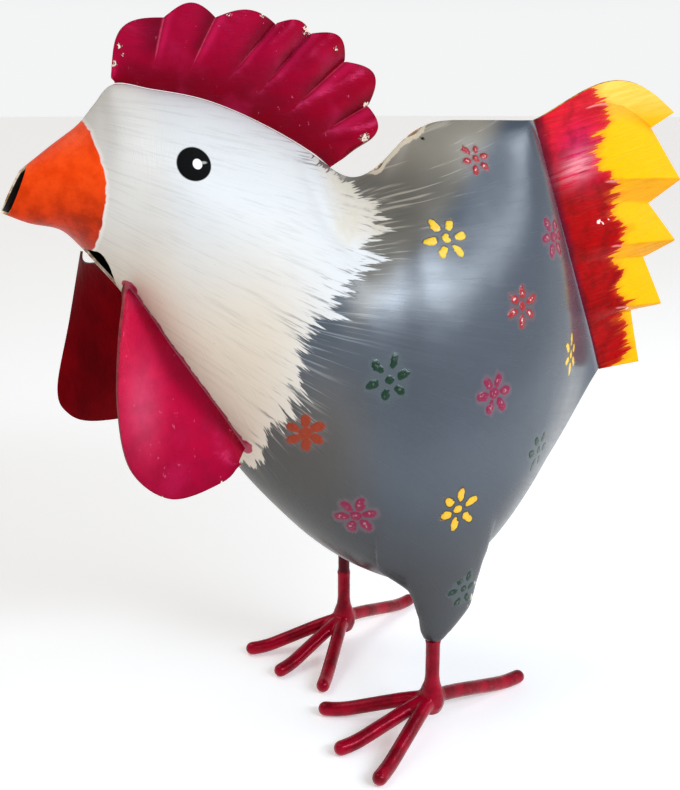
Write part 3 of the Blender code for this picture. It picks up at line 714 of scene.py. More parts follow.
def wattle_shaded_paint(name, tone, dark):
    """The wattles' inner faces: the same crimson, painted dark as shade, and less glossy."""
    n = Nodes(name)
    cloud = n.noise(n.place, (0.05, 0.05, 0.03), 3.0, 0.6)
    grain = n.noise(n.place, (0.6, 0.6, 0.3), 2.0)
    colour = n.blend(n.ramp(cloud, 0.35, 0.65), tone, dark)
    return n.finish(colour, n.ramp(grain, 0.3, 0.7, 0.5, 0.65), n.times(grain, 0.2), specular=0.18,
                    tint=(1.0, 0.1, 0.15))


def crimson_paint(name, scales, shift):
    """Brushed crimson gloss whose tone, with its painted light and shade, edge wear and chips follow the
    sheet's own fields.
    """
    n = Nodes(name)
    tone = n.colour("tone_and_light_colour")
    place = n.place
    brush = n.noise(place, tuple(0.10 * s for s in scales), 4.0, 0.65, shift)
    blot = n.noise(place, 0.05, 3.0, 0.55, shift + 4.0)
    colour = n.blend(n.ramp(brush, 0.36, 0.68, 0.0, 0.50), tone, n.scale(tone, 0.60))
    colour = n.blend(n.ramp(blot, 0.50, 0.72, 0.0, 0.35), colour, (0.38, 0.010, 0.062))
    # painted highlight: a pale line along each crease
    crease_light = n.shake(brush, 1.6, n.field("crease_light"))
    colour = n.blend(n.ramp(crease_light, 0.95, 0.1, 0.0, 0.30), colour, (0.62, 0.12, 0.20))
    # painted highlight: small pink glints
    painted_glint = n.noise(place, (0.32, 0.32, 0.22), 3.0, 0.7, shift + 8.0)
    colour = n.blend(n.ramp(painted_glint, 0.675, 0.72, 0.0, 0.45), colour, (0.60, 0.12, 0.22))
    lip = n.shake(n.noise(place, 0.5, 3.0, 0.7, shift), 3.4, n.field("lip"))
    colour = n.blend(n.ramp(lip, 0.9, 0.1, 0.0, 0.55), colour, (0.14, 0.002, 0.008))
    chip = n.shake(n.noise(place, 0.9, 3.0, 0.75, shift), 4.5, n.field("chip"))
    colour = n.blend(n.ramp(chip, 1.25, 1.05), colour, (0.10, 0.004, 0.012))
    chipped = n.ramp(chip, 0.90, 0.80)
    colour = n.blend(chipped, colour, (0.80, 0.62, 0.50))
    ridges = n.noise(place, 0.06, 2.0, 0.5, shift)
    height = n.times_plus(ridges, 1.2, n.times(brush, 0.28))
    height = n.minus(height, n.times(chipped, 0.2))
    gloss = n.ramp(brush, 0.3, 0.7, 0.20, 0.36)
    gloss = n.level(chipped, gloss, 0.6)
    return n.finish(colour, gloss, height, specular=0.26, tint=(1.0, 0.10, 0.34))


def tail_paint(name):
    """Red brushed out into yellow in ragged strokes that follow the tail's folds."""
    n = Nodes(name)
    stroke = n.vector("stroke")
    broad = n.noise(stroke, (0.05, 0.16, 0.16), 1.0, 0.5, 2.0)
    fine = n.noise(stroke, (0.05, 0.55, 0.55), 3.0, 0.6, 5.0)
    border = n.shake(broad, 18.0, n.field("border"))
    border = n.shake(fine, 21.0, border)
    yellow = n.colour("yellow_colour")
    yellow = n.blend(n.ramp(fine, 0.34, 0.66, 0.0, 0.45), yellow, (0.88, 0.40, 0.006))
    base = n.colour("red_colour")
    red = n.blend(n.ramp(fine, 0.36, 0.66, 0.0, 0.6), base, n.scale(base, 0.55))
    blot = n.noise(n.place, (0.11, 0.11, 0.09), 3.0, 0.6, 6.0)
    red = n.blend(n.ramp(blot, 0.42, 0.66, 0.0, 0.58), red, n.scale(base, 0.34))
    # painted highlight: a paler streaked sheen
    red = n.blend(n.times(n.field("sheen"), n.ramp(fine, 0.30, 0.62)), red, (0.90, 0.30, 0.34))
    mask = n.ramp(border, -0.5, 0.7)
    colour = n.blend(mask, red, yellow)
    seep = n.times(n.ramp(border, -5.0, 0.0), n.ramp(border, 6.0, 0.0))
    colour = n.blend(n.times(seep, 0.35), colour, (0.75, 0.10, 0.01))
    # painted light along the creases: a pale highlight line in the red, a darker shaded line in the yellow
    crease_light = n.shake(fine, 1.4, n.field("crease_light"))
    colour = n.blend(n.ramp(crease_light, 0.65, 0.1, 0.0, 0.6), colour,
                     n.blend(mask, (0.80, 0.30, 0.28), (0.62, 0.27, 0.01)))
    chip = n.shake(n.noise(n.place, 0.7, 2.0, 0.7), 1.8, n.field("chip"))
    chipped = n.ramp(chip, 1.05, 0.95)
    colour = n.blend(chipped, colour, (0.82, 0.70, 0.62))
    height = n.times_plus(fine, 0.30, n.times(n.noise(n.place, 0.05, 2.0), 1.2))
    return n.finish(colour, n.ramp(fine, 0.3, 0.7, 0.22, 0.38), height, specular=0.26, tint=(1.0, 0.14, 0.10))


def rod_paint(name):
    """Thick crimson gloss over welded rod, worn through to bright metal in a few places."""
    n = Nodes(name)
    place = n.place
    sag = n.noise(place, 0.09, 3.0, 0.55)
    grain = n.noise(place, 0.5, 3.0, 0.6)
    colour = n.blend(n.ramp(sag, 0.36, 0.66), (0.33, 0.001, 0.016), (0.15, 0.0006, 0.006))
    colour = n.blend(n.ramp(grain, 0.60, 0.78, 0.0, 0.40), colour, (0.38, 0.010, 0.04))
    chip = n.noise(place, 0.24, 4.0, 0.72, 9.0)
    chip = n.plus(chip, n.field("bias"))
    chipped = n.ramp(chip, 0.735, 0.755)
    colour = n.blend(n.ramp(chip, 0.715, 0.735), colour, (0.05, 0.004, 0.006))
    colour = n.blend(chipped, colour, (0.62, 0.55, 0.50))
    # painted shade: near black and matt on the right leg's top, which lies in the shade under the belly
    bare_and_shade = n.field("shaded_top")
    colour = n.blend(bare_and_shade, colour, (0.045, 0.004, 0.005))
    height = n.times_plus(sag, 0.7, n.times(grain, 0.08))
    height = n.minus(height, n.times(chipped, 0.25))
    gloss = n.level(chipped, n.ramp(sag, 0.3, 0.7, 0.16, 0.30), 0.45)
    return n.finish(colour, n.level(bare_and_shade, gloss, 0.5), height, specular=0.60, tint=(1.0, 0.16, 0.24))


def rays(y, z, middle, side):
    """Coordinates for brush strokes that fan out from a point: along the ray, and its direction."""
    back = y - middle[0]
    down = middle[1] - z
    away = np.maximum(np.hypot(back, down), 1)
    return np.stack([away + (300 if side < 0 else 0), 80 * back / away, 80 * down / away], axis=-1)


def body_fields(points, normals, side, roots, along_mm):
    """Paint guides at each point of one body half, in millimetres from each border."""
    y = points[..., 1] / MM
    z = points[..., 2] / MM
    back = y - HEAD_MIDDLE[0]
    down = HEAD_MIDDLE[1] - z
    radius = np.hypot(back, down)
    angle = np.degrees(np.arctan2(down, back))
    border = np.interp(angle, *zip(*WHITE_BORDER))
    border = np.where(angle > 95, 400.0, border)
    fields = {
        "white_edge": radius - border,
        "stroke": rays(y, z, NECK_RAYS, side),
        "brush": rays(y, z, BODY_RAYS, side),
        "face_brush": rays(y, z, FACE_RAYS, side),
        "beak": np.interp(z, *zip(*BEAK_BORDER)) - y,
    }

    # painted reflection and shade in the grey: brown above a slanting line on the back, lighter towards the
    # top, and dark warm grey low on the breast; painted shade makes it darker underneath and where the skin
    # faces down
    brown_reflection = ease(((z - 225.3) - 0.9 * (y - 14.9)) / 15 + 0.4) * ease((y + 45) / 20)
    low = ease((-20 - y) / 30) * ease((190 - z) / 50)
    reflected_brown = mix(linear("615d55"), linear("827c70"), ease((z - 232) / 20))
    grey = mix(linear("3c4550"), reflected_brown, brown_reflection)
    grey = mix(grey, linear("47433e"), low)
    under_shade = ease((125 - z) / 60)
    grey = mix(grey, linear("2c2c2e"), under_shade * 0.85)
    grey = grey * (1 - 0.50 * ease((0.05 - normals[..., 2]) / 0.6))[..., None]
    # painted highlight: a pale purple-grey line along the rear seam
    hem = ease((along_mm - 4.0) / -3.0)
    grey = mix(grey, linear("8d8790"), hem * 0.6)
    fields["grey_and_shade_colour"] = grey
    fields["brown_reflection"] = brown_reflection
    fields["scratch_colour"] = mix(linear("8f98a2"), linear("a49b8c"), np.maximum(brown_reflection, low))

    # white that is creamier at the throat, the face and the nape
    cream = ease((238 - z) / 62) * ease((-36 - y) / 40)
    face = ease((-96 - y) / 18) * 0.35
    nape = ease((y + 42) / 14) * ease((z - 210) / 12)
    fields["nape"] = nape
    pale = mix(linear("cccccb"), linear("d1c3b0"), np.clip(cream + face, 0, 1))
    fields["pale_colour"] = mix(pale, linear("cbbfae"), nape * 0.8)

    height = ease((z - 224) / 26)
    fields["beak_colour"] = mix(linear("c42c04"), linear("fb4d12"), height)
    fields["beak_low_colour"] = mix(linear("981d00"), linear("ec3e06"), height)

    # the welded lines of the comb and the wattle, wider at the wattle's two ends
    comb_line, wattle_line = roots
    joint = np.minimum(nearest(points, comb_line), nearest(points, wattle_line))
    fields["joint"] = np.minimum(joint, nearest(points, wattle_line[[0, -1]]) - 2.4)
    fields.update(flower_fields(points, normals, side))
    return fields


def flower_fields(points, normals, side):
    """Each point's place within the nearest flower, in petal distances, and that flower's look."""
    shape = points.shape[:-1]
    place = np.full((*shape, 3), 40.0)
    look = np.zeros((*shape, 3))
    fused = np.zeros(shape)
    close = np.zeros(shape)
    colour = np.zeros((*shape, 3))
    best = np.full(shape, 1e9)
    kinds = [flower[2] for flower in FLOWERS]
    for k, (y, z, kind, reach, turn) in enumerate(FLOWERS):
        # the mirrored half has the same dabs moved about, in another order of kinds
        if side < 0:
            kind = kinds[(k * 5 + 3) % len(kinds)]
            z += 4.0 * math.cos(k * 1.7) + 12 * (z < 80)
            y += 5.0 * math.sin(k * 2.1)
            turn += 25 * k
        off = np.hypot(points[..., 1] - y * MM, points[..., 2] - z * MM) + (normals[..., 0] < 0.15)
        at = np.unravel_index(np.argmin(off), shape)
        centre, normal = points[at], normals[at]
        up = np.array([0.0, 0.0, 1.0]) - normal[2] * normal
        up /= np.linalg.norm(up)
        across = np.cross(up, normal)
        away = points - centre
        far = np.linalg.norm(away, axis=-1)
        a = away @ across
        b = away @ up
        flat = np.maximum(np.hypot(a, b), 1e-9)
        a, b = a / flat * far, b / flat * far
        spin = math.radians(turn)
        a, b = a * math.cos(spin) + b * math.sin(spin), b * math.cos(spin) - a * math.sin(spin)
        near = (far < reach * FLOWER_FIELD * MM) & (far < best)
        best = np.where(near, far, best)
        place[near] = np.stack([a, b, np.full_like(a, 0.0)], axis=-1)[near] / (reach * MM)
        close[near] = np.clip(2 * (FLOWER_FADE - far / (reach * MM)), 0, 1)[near]
        rim = (far < reach * FLOWER_HALO * MM) & (far <= best + 1e-9) | near
        tint, smear, outline, glint = FLOWER_KINDS[kind]
        colour[rim] = tint
        look[rim] = (smear, outline, glint)
        fused[rim] = FUSED.get(kind, 0.0)
        place[..., 2][rim] = k + 1
    return {"flower": place, "flower_near": close, "flower_look": look, "flower_fused": fused,
            "flower_colour": colour}


def wattle_root(shape, count, tip_z):
    """The wattle's welded line on the body, with the skin's outward direction there."""
    beside = np.array([-0.004, 0.0, 0.004])
    root, normal = [], []
    for share in np.linspace(shape["start"], shape["end"], count):
        rows = [section_row(share + d, shape["down"] + beside, 0.0) for d in beside]
        rows = pull_thigh(np.array(rows), tip_z)
        out = np.cross(rows[1][2] - rows[1][0], rows[2][1] - rows[0][1])
        root.append(rows[1][1])
        normal.append(out / np.linalg.norm(out))
    return np.array(root), np.array(normal)


def even_out(points, shares):
    """Averages the skin along the body, away from its two ends, so that no station shows."""
    reach = 14
    kernel = np.exp(-(np.arange(-reach, reach + 1) / 6.0) ** 2)
    kernel /= kernel.sum()
    padded = np.pad(points, ((reach, reach), (0, 0), (0, 0)), mode="reflect", reflect_type="odd")
    smooth = sum(w * padded[k:k + len(points)] for k, w in enumerate(kernel))
    share = ease((shares - 0.40) / 0.12) * ease((0.985 - shares) / 0.05)
    return points + (smooth - points) * share[:, None, None]


def body_half(name, side, throat_width, tip_z, materials, wattle_shape):
    """One pressed half with its paint guides. side is -1 for the mirrored one."""
    shares = spread_lines(BODY_LINES, BODY_CLOSER)
    if side > 0:
        shares = BEAK_SHORT + (1 - BEAK_SHORT) * shares
    alongs = spread_lines(SECTION_LINES, SECTION_CLOSER)
    outer = np.array([section_row(s, alongs, throat_width) for s in shares])
    outer = pull_thigh(even_out(outer, shares), tip_z)
    normal = grid_normals(outer)
    seams = np.minimum(ease(alongs * 14), ease((1 - alongs) * 14))
    calm = seams * ease((outer[..., 2] - tip_z) / (20 * MM))
    wave = wander(outer, 34.0, 3.0 * side) + 0.12 * wander(outer, 90.0, 9.0 * side)
    outer = outer + normal * (wave * DENT * calm)[..., None]

    # only the near half is folded at the neck and stands off along the back seam
    if side > 0:
        at = np.linspace(0, len(NECK_FOLD) - 1, 60)
        fold = [(*spline(range(len(NECK_FOLD)), NECK_FOLD, s), NECK_FOLD_WIDTH) for s in at]
        dip = np.exp(-nearest_chip(outer[..., 1] / MM, outer[..., 2] / MM, fold) ** 2)
        outer = outer - normal * (NECK_FOLD_DEPTH * dip * calm)[..., None]
        gap = sum(np.exp(-((shares - middle) / width) ** 2) for middle, width in SEAM_GAPS)
        gap = np.clip(gap, 0, 1)[:, None] * ease(1 - alongs / 0.035)
        outer[..., 0] += gap * SEAM_GAP_OUT
        outer[..., 2] -= gap * SEAM_GAP_DROP

    # the inside skin, cut straight across at the seams
    inner = outer - normal * SHEET
    flat = normal * np.array([0, 1, 1])
    size = np.maximum(np.linalg.norm(flat, axis=-1, keepdims=True), 0.25)
    inner[..., 0] = np.maximum(inner[..., 0], SEAM_HALF + 0.1 * outer[..., 0])
    at_seam = (outer[..., 0] <= SEAM_HALF * 1.01)[..., None]
    inner = np.where(at_seam, outer - flat / size**2 * SHEET, inner)

    comb_line = np.array([(SEAM_HALF, *top_seam(s)) for s in np.linspace(COMB_START, COMB_END, 240)])
    wattle_line, _ = wattle_root(wattle_shape, 160, tip_z)
    hem = np.linalg.norm(outer - outer[-1:], axis=-1) / MM
    fields = body_fields(outer, normal, side, (comb_line, wattle_line), hem)
    y, z = outer[..., 1] / MM, outer[..., 2] / MM
    seam = np.linalg.norm(outer - outer[:, :1], axis=-1) / MM
    wear = ease((shares - SEAM_WEAR[0]) / 0.02) * ease((SEAM_WEAR[1] - shares) / 0.02)
    worn = nearest_chip(y, z, THIGH_CHIPS) + 9.0 * (normal[..., 0] < 0.05)
    fields["bare_and_shade"] = np.maximum(wear[:, None] * 3.4 - seam - 0.6, 1.6 * (1.0 - worn))
    hole_y, hole_z, long, high = SEAM_HOLE
    shaded_hole = np.hypot((y - hole_y) / long, (z - hole_z) / high)
    fields["shaded_hole"] = shaded_hole if side > 0 else np.full_like(shaded_hole, 9.0)
    piece = shell(name + "_skin", outer, inner, materials, fields, side)
    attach(piece, "root")
    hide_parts(name)


def thin_sheet(name, middle, materials, fields, nodes):
    """A bent sheet of even thickness about its middle surface."""
    half = -grid_normals(middle) * SHEET / 2
    piece = shell(name, middle + half, middle - half, materials, fields)
    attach(piece, "root")
    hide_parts(*nodes)


def quarter_turn(line):
    """A direction (y, z) turned square to itself."""
    return np.array([-line[1], line[0]])


def comb(materials):
    """A scalloped sheet that stands on the top seam, creased from each notch down."""
    lobes = len(COMB_BULGES)
    us = np.linspace(0, lobes, lobes * 26 + 1)
    vs = np.linspace(0, 1, 40)
    middle = np.zeros((len(us), len(vs), 3))
    lip = np.zeros((len(us), len(vs)))
    for k, u in enumerate(us):
        share = COMB_START + (COMB_END - COMB_START) * u / lobes
        base = top_seam(share)
        line = top_seam(share + 0.005) - base
        base = base + quarter_turn(line) / np.linalg.norm(line) * FIT_GAP
        lobe = min(int(u), lobes - 1)
        part = u - lobe
        start = np.array(COMB_NOTCHES[lobe]) * MM
        chord = np.array(COMB_NOTCHES[lobe + 1]) * MM - start
        edge = start + chord * part + quarter_turn(chord) * COMB_BULGES[lobe] * math.sin(math.pi * part)
        middle[k, :, 1:] = base + (edge - base) * vs[:, None]
        bulge = 2 * abs(math.sin(math.pi * u)) ** 0.75 - 1
        deep = 0.45 + 0.55 * ease((u - 1.5) / 3)
        middle[k, :, 0] = COMB_PLEAT * bulge * deep * ease((vs - 0.15) / 0.75)
        lip[k] = (1 - vs) * np.linalg.norm(edge - base) / MM
    middle[..., 0] += 0.35 * MM * wander(middle, 60.0, 5.0) * ease(vs)
    y, z = middle[..., 1] / MM, middle[..., 2] / MM
    upper = mix(linear("98042a"), linear("90001c"), ease((y + 60) / 40))
    # painted shade: darker towards the base, where the comb stands on the seam
    tone = mix(linear("6a0008"), upper, ease(vs / 0.75) * np.ones_like(y))

    # painted shade and highlight: each lobe is darker before its crease and lighter after it
    part = (us - np.floor(us))[:, None]
    folded = ease((vs - 0.30) / 0.35)
    tone = mix(tone, linear("4c0008"), 0.75 * folded * ease((part - 0.62) / 0.36))
    tone = mix(tone, linear("c21a4c"), 0.65 * folded * np.exp(-((part - 0.10) / 0.09) ** 2))
    fields = {
        "tone_and_light_colour": tone,
        "crease_light": np.abs(us - np.round(us))[:, None] * 30 + 3.0 * (1 - ease(vs / 0.6)),
        "lip": lip,
        "chip": nearest_chip(y, z, COMB_CHIPS),
    }
    thin_sheet("comb_sheet", middle, materials, fields, ["comb"])


def tail(materials):
    """A pleated sheet that stands on the rear seam, with a toothed free edge and an arched top."""
    panels = len(TAIL_NOTCHES)
    us = np.linspace(0, panels, panels * 40 + 1)
    vs = np.linspace(0, 1, 56)
    top, bottom = LENGTHS[-1, 0:2], LENGTHS[-1, 2:4]
    line = bottom - top
    out = quarter_turn(line) / np.linalg.norm(line)
    foot_crease = 4 * (1 - ease((vs - 0.2) / 0.25))
    middle = np.zeros((len(us), len(vs), 3))
    crease_light = np.zeros((len(us), len(vs)))
    shade = np.zeros((len(us), len(vs)))
    for k, u in enumerate(us):
        base = top + line * u / panels + out * FIT_GAP
        panel = min(int(u), panels - 1)
        part = u - panel
        tip = np.array(TAIL_TIPS[panel]) * MM
        notch = np.array(TAIL_NOTCHES[panel]) * MM
        if part <= TAIL_NOTCH_PART:
            back = part / TAIL_NOTCH_PART
            edge = tip + (notch - tip) * back
            pleat = 1 - 2 * back
            shade[k] = ease((vs - 0.35) / 0.4) * (1 - 0.3 * back) * (panel > 0)
        else:
            rise = (part - TAIL_NOTCH_PART) / (1 - TAIL_NOTCH_PART)
            edge = notch + (np.array(TAIL_TIPS[panel + 1]) * MM - notch) * rise
            pleat = -1 + 2 * rise
            shade[k] = ease((vs - 0.25) / 0.4) * max(0.0, 1 - rise / 0.22) * 0.9 * (panel == 0)
        arch = TAIL_ARCH * max(0.0, 1.0 - u / panels / TAIL_ARCH_FADE) ** 1.5
        middle[k, :, 1:] = base + (edge - base) * vs[:, None]
        middle[k, :, 2] += arch * np.sin(math.pi * vs**1.2)
        middle[k, :, 0] = TAIL_PLEAT * pleat * vs
        beside = min(abs(part - 1.0), abs(part) + (panel == 0), abs(u - TAIL_NOTCH_PART))
        crease_light[k] = beside * 30 + foot_crease
    middle[..., 0] += 0.4 * MM * wander(middle, 45.0, 8.0) * ease(vs * 2)
    y, z = middle[..., 1] / MM, middle[..., 2] / MM
    # painted light in the red: lighter at the top, a painted pink glare, painted shade low at the front and
    # below each tip's crease, and darker along the root; the sheen field is a painted highlight
    red = mix(linear("a80006"), linear("d01426"), ease((z - 225) / 20))
    red = mix(red, linear("c81e58"), glow(y, z, (100, 246), (12, 12)))
    red = mix(red, linear("780002"), 0.6 * ease((190 - z) / 30) * ease((120 - y) / 20))
    red = mix(red, linear("6a0004"), shade * 0.7)
    red = mix(red, linear("3c0626"), ease(1 - vs / 0.10) * 0.85)
    # painted light in the yellow: lighter on the top panel, painted shade below the creases
    yellow = mix(linear("f4b402"), linear("fbcc5a"), ease((z - 258) / 14))
    fields = {
        "border": y - np.interp(z, *zip(*TAIL_BORDER[::-1])),
        "stroke": np.stack([y, z - 0.25 * y, 0 * y], axis=-1),
        "red_colour": red,
        "sheen": glow(y, z - 0.3 * (y - 99), (99, 240), (9, 6)) * 0.9,
        "yellow_colour": mix(yellow, linear("c98204"), shade * 0.75),
        "crease_light": crease_light,
        "chip": nearest_chip(y, z, TAIL_CHIPS),
    }
    thin_sheet("tail_sheet", middle, materials, fields, ["tail"])


def wattle(name, side, shape, materials):
    """A dished sheet from its welded line on the throat out to its free edge."""
    free = np.array(shape["free"]) * MM
    knots = np.linspace(0.0, 1.0, len(free))
    us = np.linspace(0, 1, 90)
    vs = np.linspace(0, 1, 40)
    root, normal = wattle_root(shape, len(us), LEFT_THIGH_TIP_Z)
    root = root + normal * (FIT_GAP + SHEET / 2)
    rim = np.array([(shape["stand"] * MM, *spline(knots, free, u)) for u in us])
    middle = root[:, None] + (rim - root)[:, None] * vs[None, :, None]
    middle = middle + normal[:, None] * (WATTLE_DISH * np.sin(math.pi * vs))[None, :, None]
    lip = (1 - vs) * np.linalg.norm(rim - root, axis=-1)[:, None] / MM
    lip = np.minimum(lip, np.minimum(us, 1 - us)[:, None] * 100)
    middle[..., 0] += 0.5 * MM * wander(middle, 50.0, 2.0) * (np.sin(math.pi * us)[:, None] * ease(vs))
    middle[..., 0] *= side
    y, z = middle[..., 1] / MM, middle[..., 2] / MM

    # painted light: a painted highlight across its middle and a pale painted sheen, painted shade at its root
    # and its lower end
    base_tone, lit_middle_tone, shaded_root_tone = WATTLE_TONES
    tone = mix(base_tone, lit_middle_tone, ease(1.2 - 1.6 * np.abs(vs - 0.55)) * np.ones_like(y))
    tone = mix(tone, shaded_root_tone, ease((0.30 - vs) / 0.3))
    tone = tone * (1 - 0.32 * ease((165 - z) / 40))[..., None]
    tone = mix(tone, linear("cc5c7c"), glow(y, z, (-118, 158), (7, 16)) * 0.40)
    tone = mix(tone, linear("760016"), 0.6 * ease((0.20 - vs) / 0.12))
    fields = {
        "tone_and_light_colour": tone,
        "crease_light": np.full_like(y, 9.0),
        "lip": lip,
        "chip": nearest_chip(y, z, shape["chips"]),
    }
    thin_sheet(name + "_sheet", middle, materials, fields, [name])


def tube(bm, path, radii, sides=20):
    """A closed round bar of rings through the path's points."""
    path = np.asarray(path, float)
    rings = []
    for i, centre in enumerate(path):
        ahead = path[min(i + 1, len(path) - 1)] - path[max(i - 1, 0)]
        ahead /= np.linalg.norm(ahead)
        guide = np.array([0.0, 0.0, 1.0]) if abs(ahead[2]) < 0.9 else np.array([0.0, 1.0, 0.0])
        across = np.cross(ahead, guide)
        across /= np.linalg.norm(across)
        up = np.cross(across, ahead)
        turns = 2 * math.pi * np.arange(sides) / sides
        ring = [centre + (across * math.cos(t) + up * math.sin(t)) * radii[i] for t in turns]
        rings.append([bm.verts.new(point) for point in ring])
    for lower, upper in zip(rings, rings[1:]):
        for k in range(sides):
            bm.faces.new((lower[k], lower[(k + 1) % sides], upper[(k + 1) % sides], upper[k]))
    bm.faces.new(rings[0][::-1])
    bm.faces.new(rings[-1])


def toe_path(side, angle, reach):
    """Centre points and radii of a toe, out of the knob, down, and flat along the ground."""
    flat_end = reach - TOE_RADIUS * 0.70
    flat_start = flat_end - TOE_FLAT
    drop = TOE_ROOT_Z - TOE_RADIUS
    along = [0.0, reach * 0.22, reach * 0.50, reach * 0.72, flat_start, flat_end, reach]
    level = [TOE_ROOT_Z, TOE_RADIUS + drop * 0.80, TOE_RADIUS + drop * 0.42, TOE_RADIUS + drop * 0.12,
             TOE_RADIUS, TOE_RADIUS, TOE_RADIUS]
    round_end = TOE_RADIUS * np.array([0.8, 0.55, 0.3, 0.1, 0.01])
    at = np.concatenate([np.linspace(0, reach - TOE_RADIUS, 22), reach - round_end])
    z = np.interp(at, along, level)
    z = np.convolve(np.pad(z, 2, mode="edge"), np.ones(5) / 5, mode="valid")
    end = np.clip((at - (reach - TOE_RADIUS)) / TOE_RADIUS, 0, 1)
    radii = TOE_RADIUS * np.sqrt(np.maximum(1 - end**2, 0.02))
    turn = math.radians(angle)
    ahead = np.array([math.sin(turn), -math.cos(turn)])
    path = [(side * HIP_X + ahead[0] * r, HIP_Y + ahead[1] * r, h) for r, h in zip(at, z)]
    return path, radii


def foot(name, side, tip_z, toes, nodes, material, thin_shaded_from):
    """Leg, knob and four toes run together under thick paint, as one welded piece."""
    bm = bmesh.new()
    for angle, reach in toes:
        path, radii = toe_path(side, angle, reach * MM)
        tube(bm, path, radii)
    bar = [(KNOB_Z + KNOB_RADIUS * rise, KNOB_RADIUS * share) for rise, share in KNOB_OUTLINE]
    bar += [(KNOB_Z + KNOB_RADIUS * 1.40, LEG_RADIUS * 1.12), (KNOB_Z + KNOB_RADIUS * 2.0, LEG_RADIUS)]
    slim = LEG_RADIUS
    if thin_shaded_from:
        slim = LEG_RADIUS * 0.90
        bar += [(thin_shaded_from - 1.5 * MM, LEG_RADIUS), (thin_shaded_from, LEG_RADIUS * 1.10)]
        bar += [(thin_shaded_from + 0.4 * MM, slim)]
    top = tip_z - FIT_GAP * 0.3
    bar += [(top - 2.2 * MM, slim), (top - 1.0 * MM, slim * 1.12), (top, THIGH_TIP_RADIUS * 0.96)]
    tube(bm, [(side * HIP_X, HIP_Y, z) for z, _ in bar], [radius for _, radius in bar], 28)
    rods = bpy.data.meshes.new(name)
    bm.to_mesh(rods)
    bm.free()
    obj = add(name, rods)
    remesh = obj.modifiers.new("weld", "REMESH")
    remesh.mode = "VOXEL"
    remesh.voxel_size = FOOT_VOXEL
    remesh.use_smooth_shade = True
    smooth = obj.modifiers.new("run", "SMOOTH")
    smooth.factor = 0.5
    smooth.iterations = 14
    bpy.context.view_layer.update()
    solid = bpy.data.meshes.new_from_object(obj.evaluated_get(bpy.context.evaluated_depsgraph_get()))
    obj.modifiers.clear()
    obj.data = solid
    bpy.data.meshes.remove(rods)

    # lumps of weld round the knob, and guides for the painted shade at the right leg's top and for chips
    points = np.zeros(len(solid.vertices) * 3)
    solid.vertices.foreach_get("co", points)
    points = points.reshape(-1, 3)
    centre = np.array([side * HIP_X, HIP_Y, KNOB_Z])
    away = np.linalg.norm(points - centre, axis=1)
    lump = np.array([noise.noise(Vector(p * 260.0)) for p in points])
    near = np.exp(-(away / (9 * MM)) ** 2)
    push = (points - centre) / np.maximum(away, 1e-9)[:, None]
    points = points + push * (lump * WELD_LUMP * near)[:, None]
    points[:, 2] = np.maximum(points[:, 2], 0.0)
    rise = points[:, 2]
    shaded_top = ease((rise - thin_shaded_from) / (0.5 * MM) - 0.6) if thin_shaded_from else 0 * rise
    bias = 0.13 * ease((rise - tip_z + 4 * MM) / (3 * MM)) + 0.02 * near
    points[:, 0] += MIDDLE_X
    solid.vertices.foreach_set("co", points.ravel())
    for key, values in (("shaded_top", shaded_top), ("bias", bias)):
        solid.attributes.new(key, "FLOAT", "POINT").data.foreach_set("value", values.astype(np.float32))
    solid.materials.clear()
    solid.materials.append(material)
    solid.shade_smooth()
    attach(obj, "root")
    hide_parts(*nodes)


def pale_floor():
    """A flat round floor."""
    bm = bmesh.new()
    bmesh.ops.create_circle(bm, cap_ends=True, segments=128, radius=FLOOR_RADIUS)
    mesh = bpy.data.meshes.new("floor")
    bm.to_mesh(mesh)
    bm.free()
    n = Nodes("pale_floor")
    pale = n.blend(n.noise(n.place, 0.004, 3.0), (0.90, 0.90, 0.90), (0.92, 0.92, 0.92))
    n.put(n.shader.inputs["Emission Color"], (1.0, 1.0, 1.0))
    n.put(n.shader.inputs["Emission Strength"], FLOOR_GLOW)
    mesh.materials.append(n.finish(pale, 0.8, specular=0.1))
    floor = add("floor", mesh)


def sky():
    """Soft light from all round, pale at the horizon and duller overhead."""
    world = bpy.data.worlds.new("studio")
    bpy.context.scene.world = world
    world.use_nodes = True
    tree = world.node_tree
    place = tree.nodes.new("ShaderNodeTexCoord")
    split = tree.nodes.new("ShaderNodeSeparateXYZ")
    ramp = tree.nodes.new("ShaderNodeValToRGB")
    background = tree.nodes["Background"]
    tree.links.new(place.outputs["Generated"], split.inputs[0])
    tree.links.new(split.outputs[2], ramp.inputs[0])
    tree.links.new(ramp.outputs[0], background.inputs[0])
    for k, (height, colour) in enumerate(SKY):
        ramp.color_ramp.elements[k].position = height
        ramp.color_ramp.elements[k].color = (*colour, 1.0)
    background.inputs[1].default_value = 1.0


def lights():
    """A row of soft round lamps, which the wing mirrors as a glow, and a wide sun from above."""
    aim = Vector((MIDDLE_X, 0.0, LAMP_AIM_Z))
    for k, (azimuth, elevation, power) in enumerate(LAMPS):
        light = bpy.data.lights.new(f"window_{k}", "AREA")
        light.shape = "DISK"
        light.size = LAMP_SIZE
        light.energy = power
        light.color = LAMP_COLOUR
        lamp = add(f"window_{k}", light)
        turn, tilt = math.radians(azimuth), math.radians(elevation)
        away = Vector((math.cos(tilt) * math.cos(turn), math.cos(tilt) * math.sin(turn), math.sin(tilt)))
        lamp.location = aim + away * LAMP_AWAY
        lamp.rotation_euler = (aim - lamp.location).to_track_quat("-Z", "Y").to_euler()
    light = bpy.data.lights.new("over", "SUN")
    light.energy = SUN_STRENGTH
    light.angle = math.radians(SUN_WIDTH)
    light.color = SUN_COLOUR
    add("over", light).rotation_euler = [math.radians(turn) for turn in SUN_TURN]


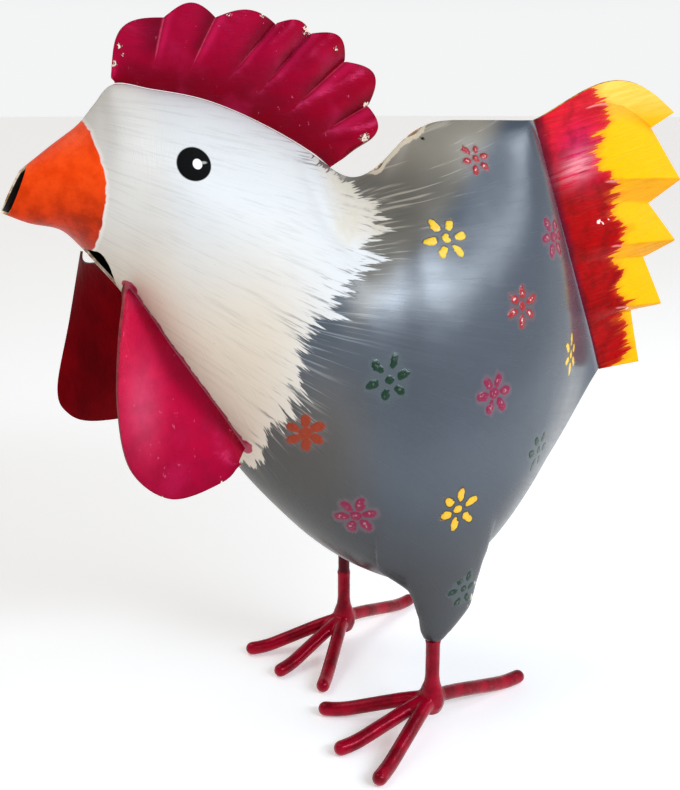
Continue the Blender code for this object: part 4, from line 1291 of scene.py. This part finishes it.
def photo_camera():
    """The photograph's viewpoint."""
    data = bpy.data.cameras.new("camera")
    data.lens = FOCAL_SHARE * SENSOR
    data.sensor_width = SENSOR
    data.clip_start = 0.01
    camera = add("camera", data)
    camera.location = CAMERA_PLACE
    camera.rotation_euler = (Vector(CAMERA_AIM) - camera.location).to_track_quat("-Z", "Y").to_euler()
    bpy.context.scene.camera = camera
    bpy.context.scene.view_settings.view_transform = "Standard"


pale_floor()
sky()
lights()
photo_camera()

cream_edge = edge_paint("cut_edge_cream", linear("e8d9c4"), linear("a4784e"))
red_edge = edge_paint("cut_edge_red", linear("6c0214"), linear("8c1c24"))
yellow_edge = edge_paint("cut_edge_yellow", linear("e0a010"), linear("8a5a10"))
# painted shade: the hollow's inside is near black
hollow = inside_paint("hollow_painted_shade", (0.012, 0.010, 0.009), (0.042, 0.035, 0.0315))

for name, side, throat_width, tip_z, wattle_shape, shift in (
        ("body_left", 1, THROAT_WIDTH, LEFT_THIGH_TIP_Z, LEFT_WATTLE, 0.0),
        ("body_right", -1, 0.0, RIGHT_THIGH_TIP_Z, RIGHT_WATTLE, 40.0)):
    paint = body_paint(name + "_paint", shift)
    body_half(name, side, throat_width, tip_z, [paint, cream_edge, hollow], wattle_shape)

comb_faces = crimson_paint("comb_crimson", (1.0, 0.6, 1.6), 0.0)
comb([comb_faces, red_edge, comb_faces])
tail_faces = tail_paint("tail_red_yellow")
tail([tail_faces, yellow_edge, tail_faces])

# painted shade: the wattles' inner faces are dark maroon
wattle_shaded_inside = wattle_shaded_paint("wattle_shaded_maroon", linear("780008"), linear("5a0004"))
maroon_edge = edge_paint("cut_edge_maroon", linear("3c0006"), linear("5e0a10"))
wattle_outside = crimson_paint("wattle_crimson", (0.6, 1.0, 1.0), 12.0)
wattle("wattle_left", 1, LEFT_WATTLE, [wattle_shaded_inside, red_edge, wattle_outside])
wattle("wattle_right", -1, RIGHT_WATTLE, [wattle_outside, maroon_edge, wattle_shaded_inside])

rod_crimson = rod_paint("rod_crimson")
for name, side, tip_z, toes, thin_shaded_from in (
        ("left", 1, LEFT_THIGH_TIP_Z, LEFT_TOES, None),
        ("right", -1, RIGHT_THIGH_TIP_Z, RIGHT_TOES, RIGHT_THIN_SHADED_Z)):
    nodes = [f"{name}_leg"] + [f"{name}_{toe}_toe" for toe in ("inner", "middle", "outer", "back")]
    foot(f"{name}_foot", side, tip_z, toes, nodes, rod_crimson, thin_shaded_from)
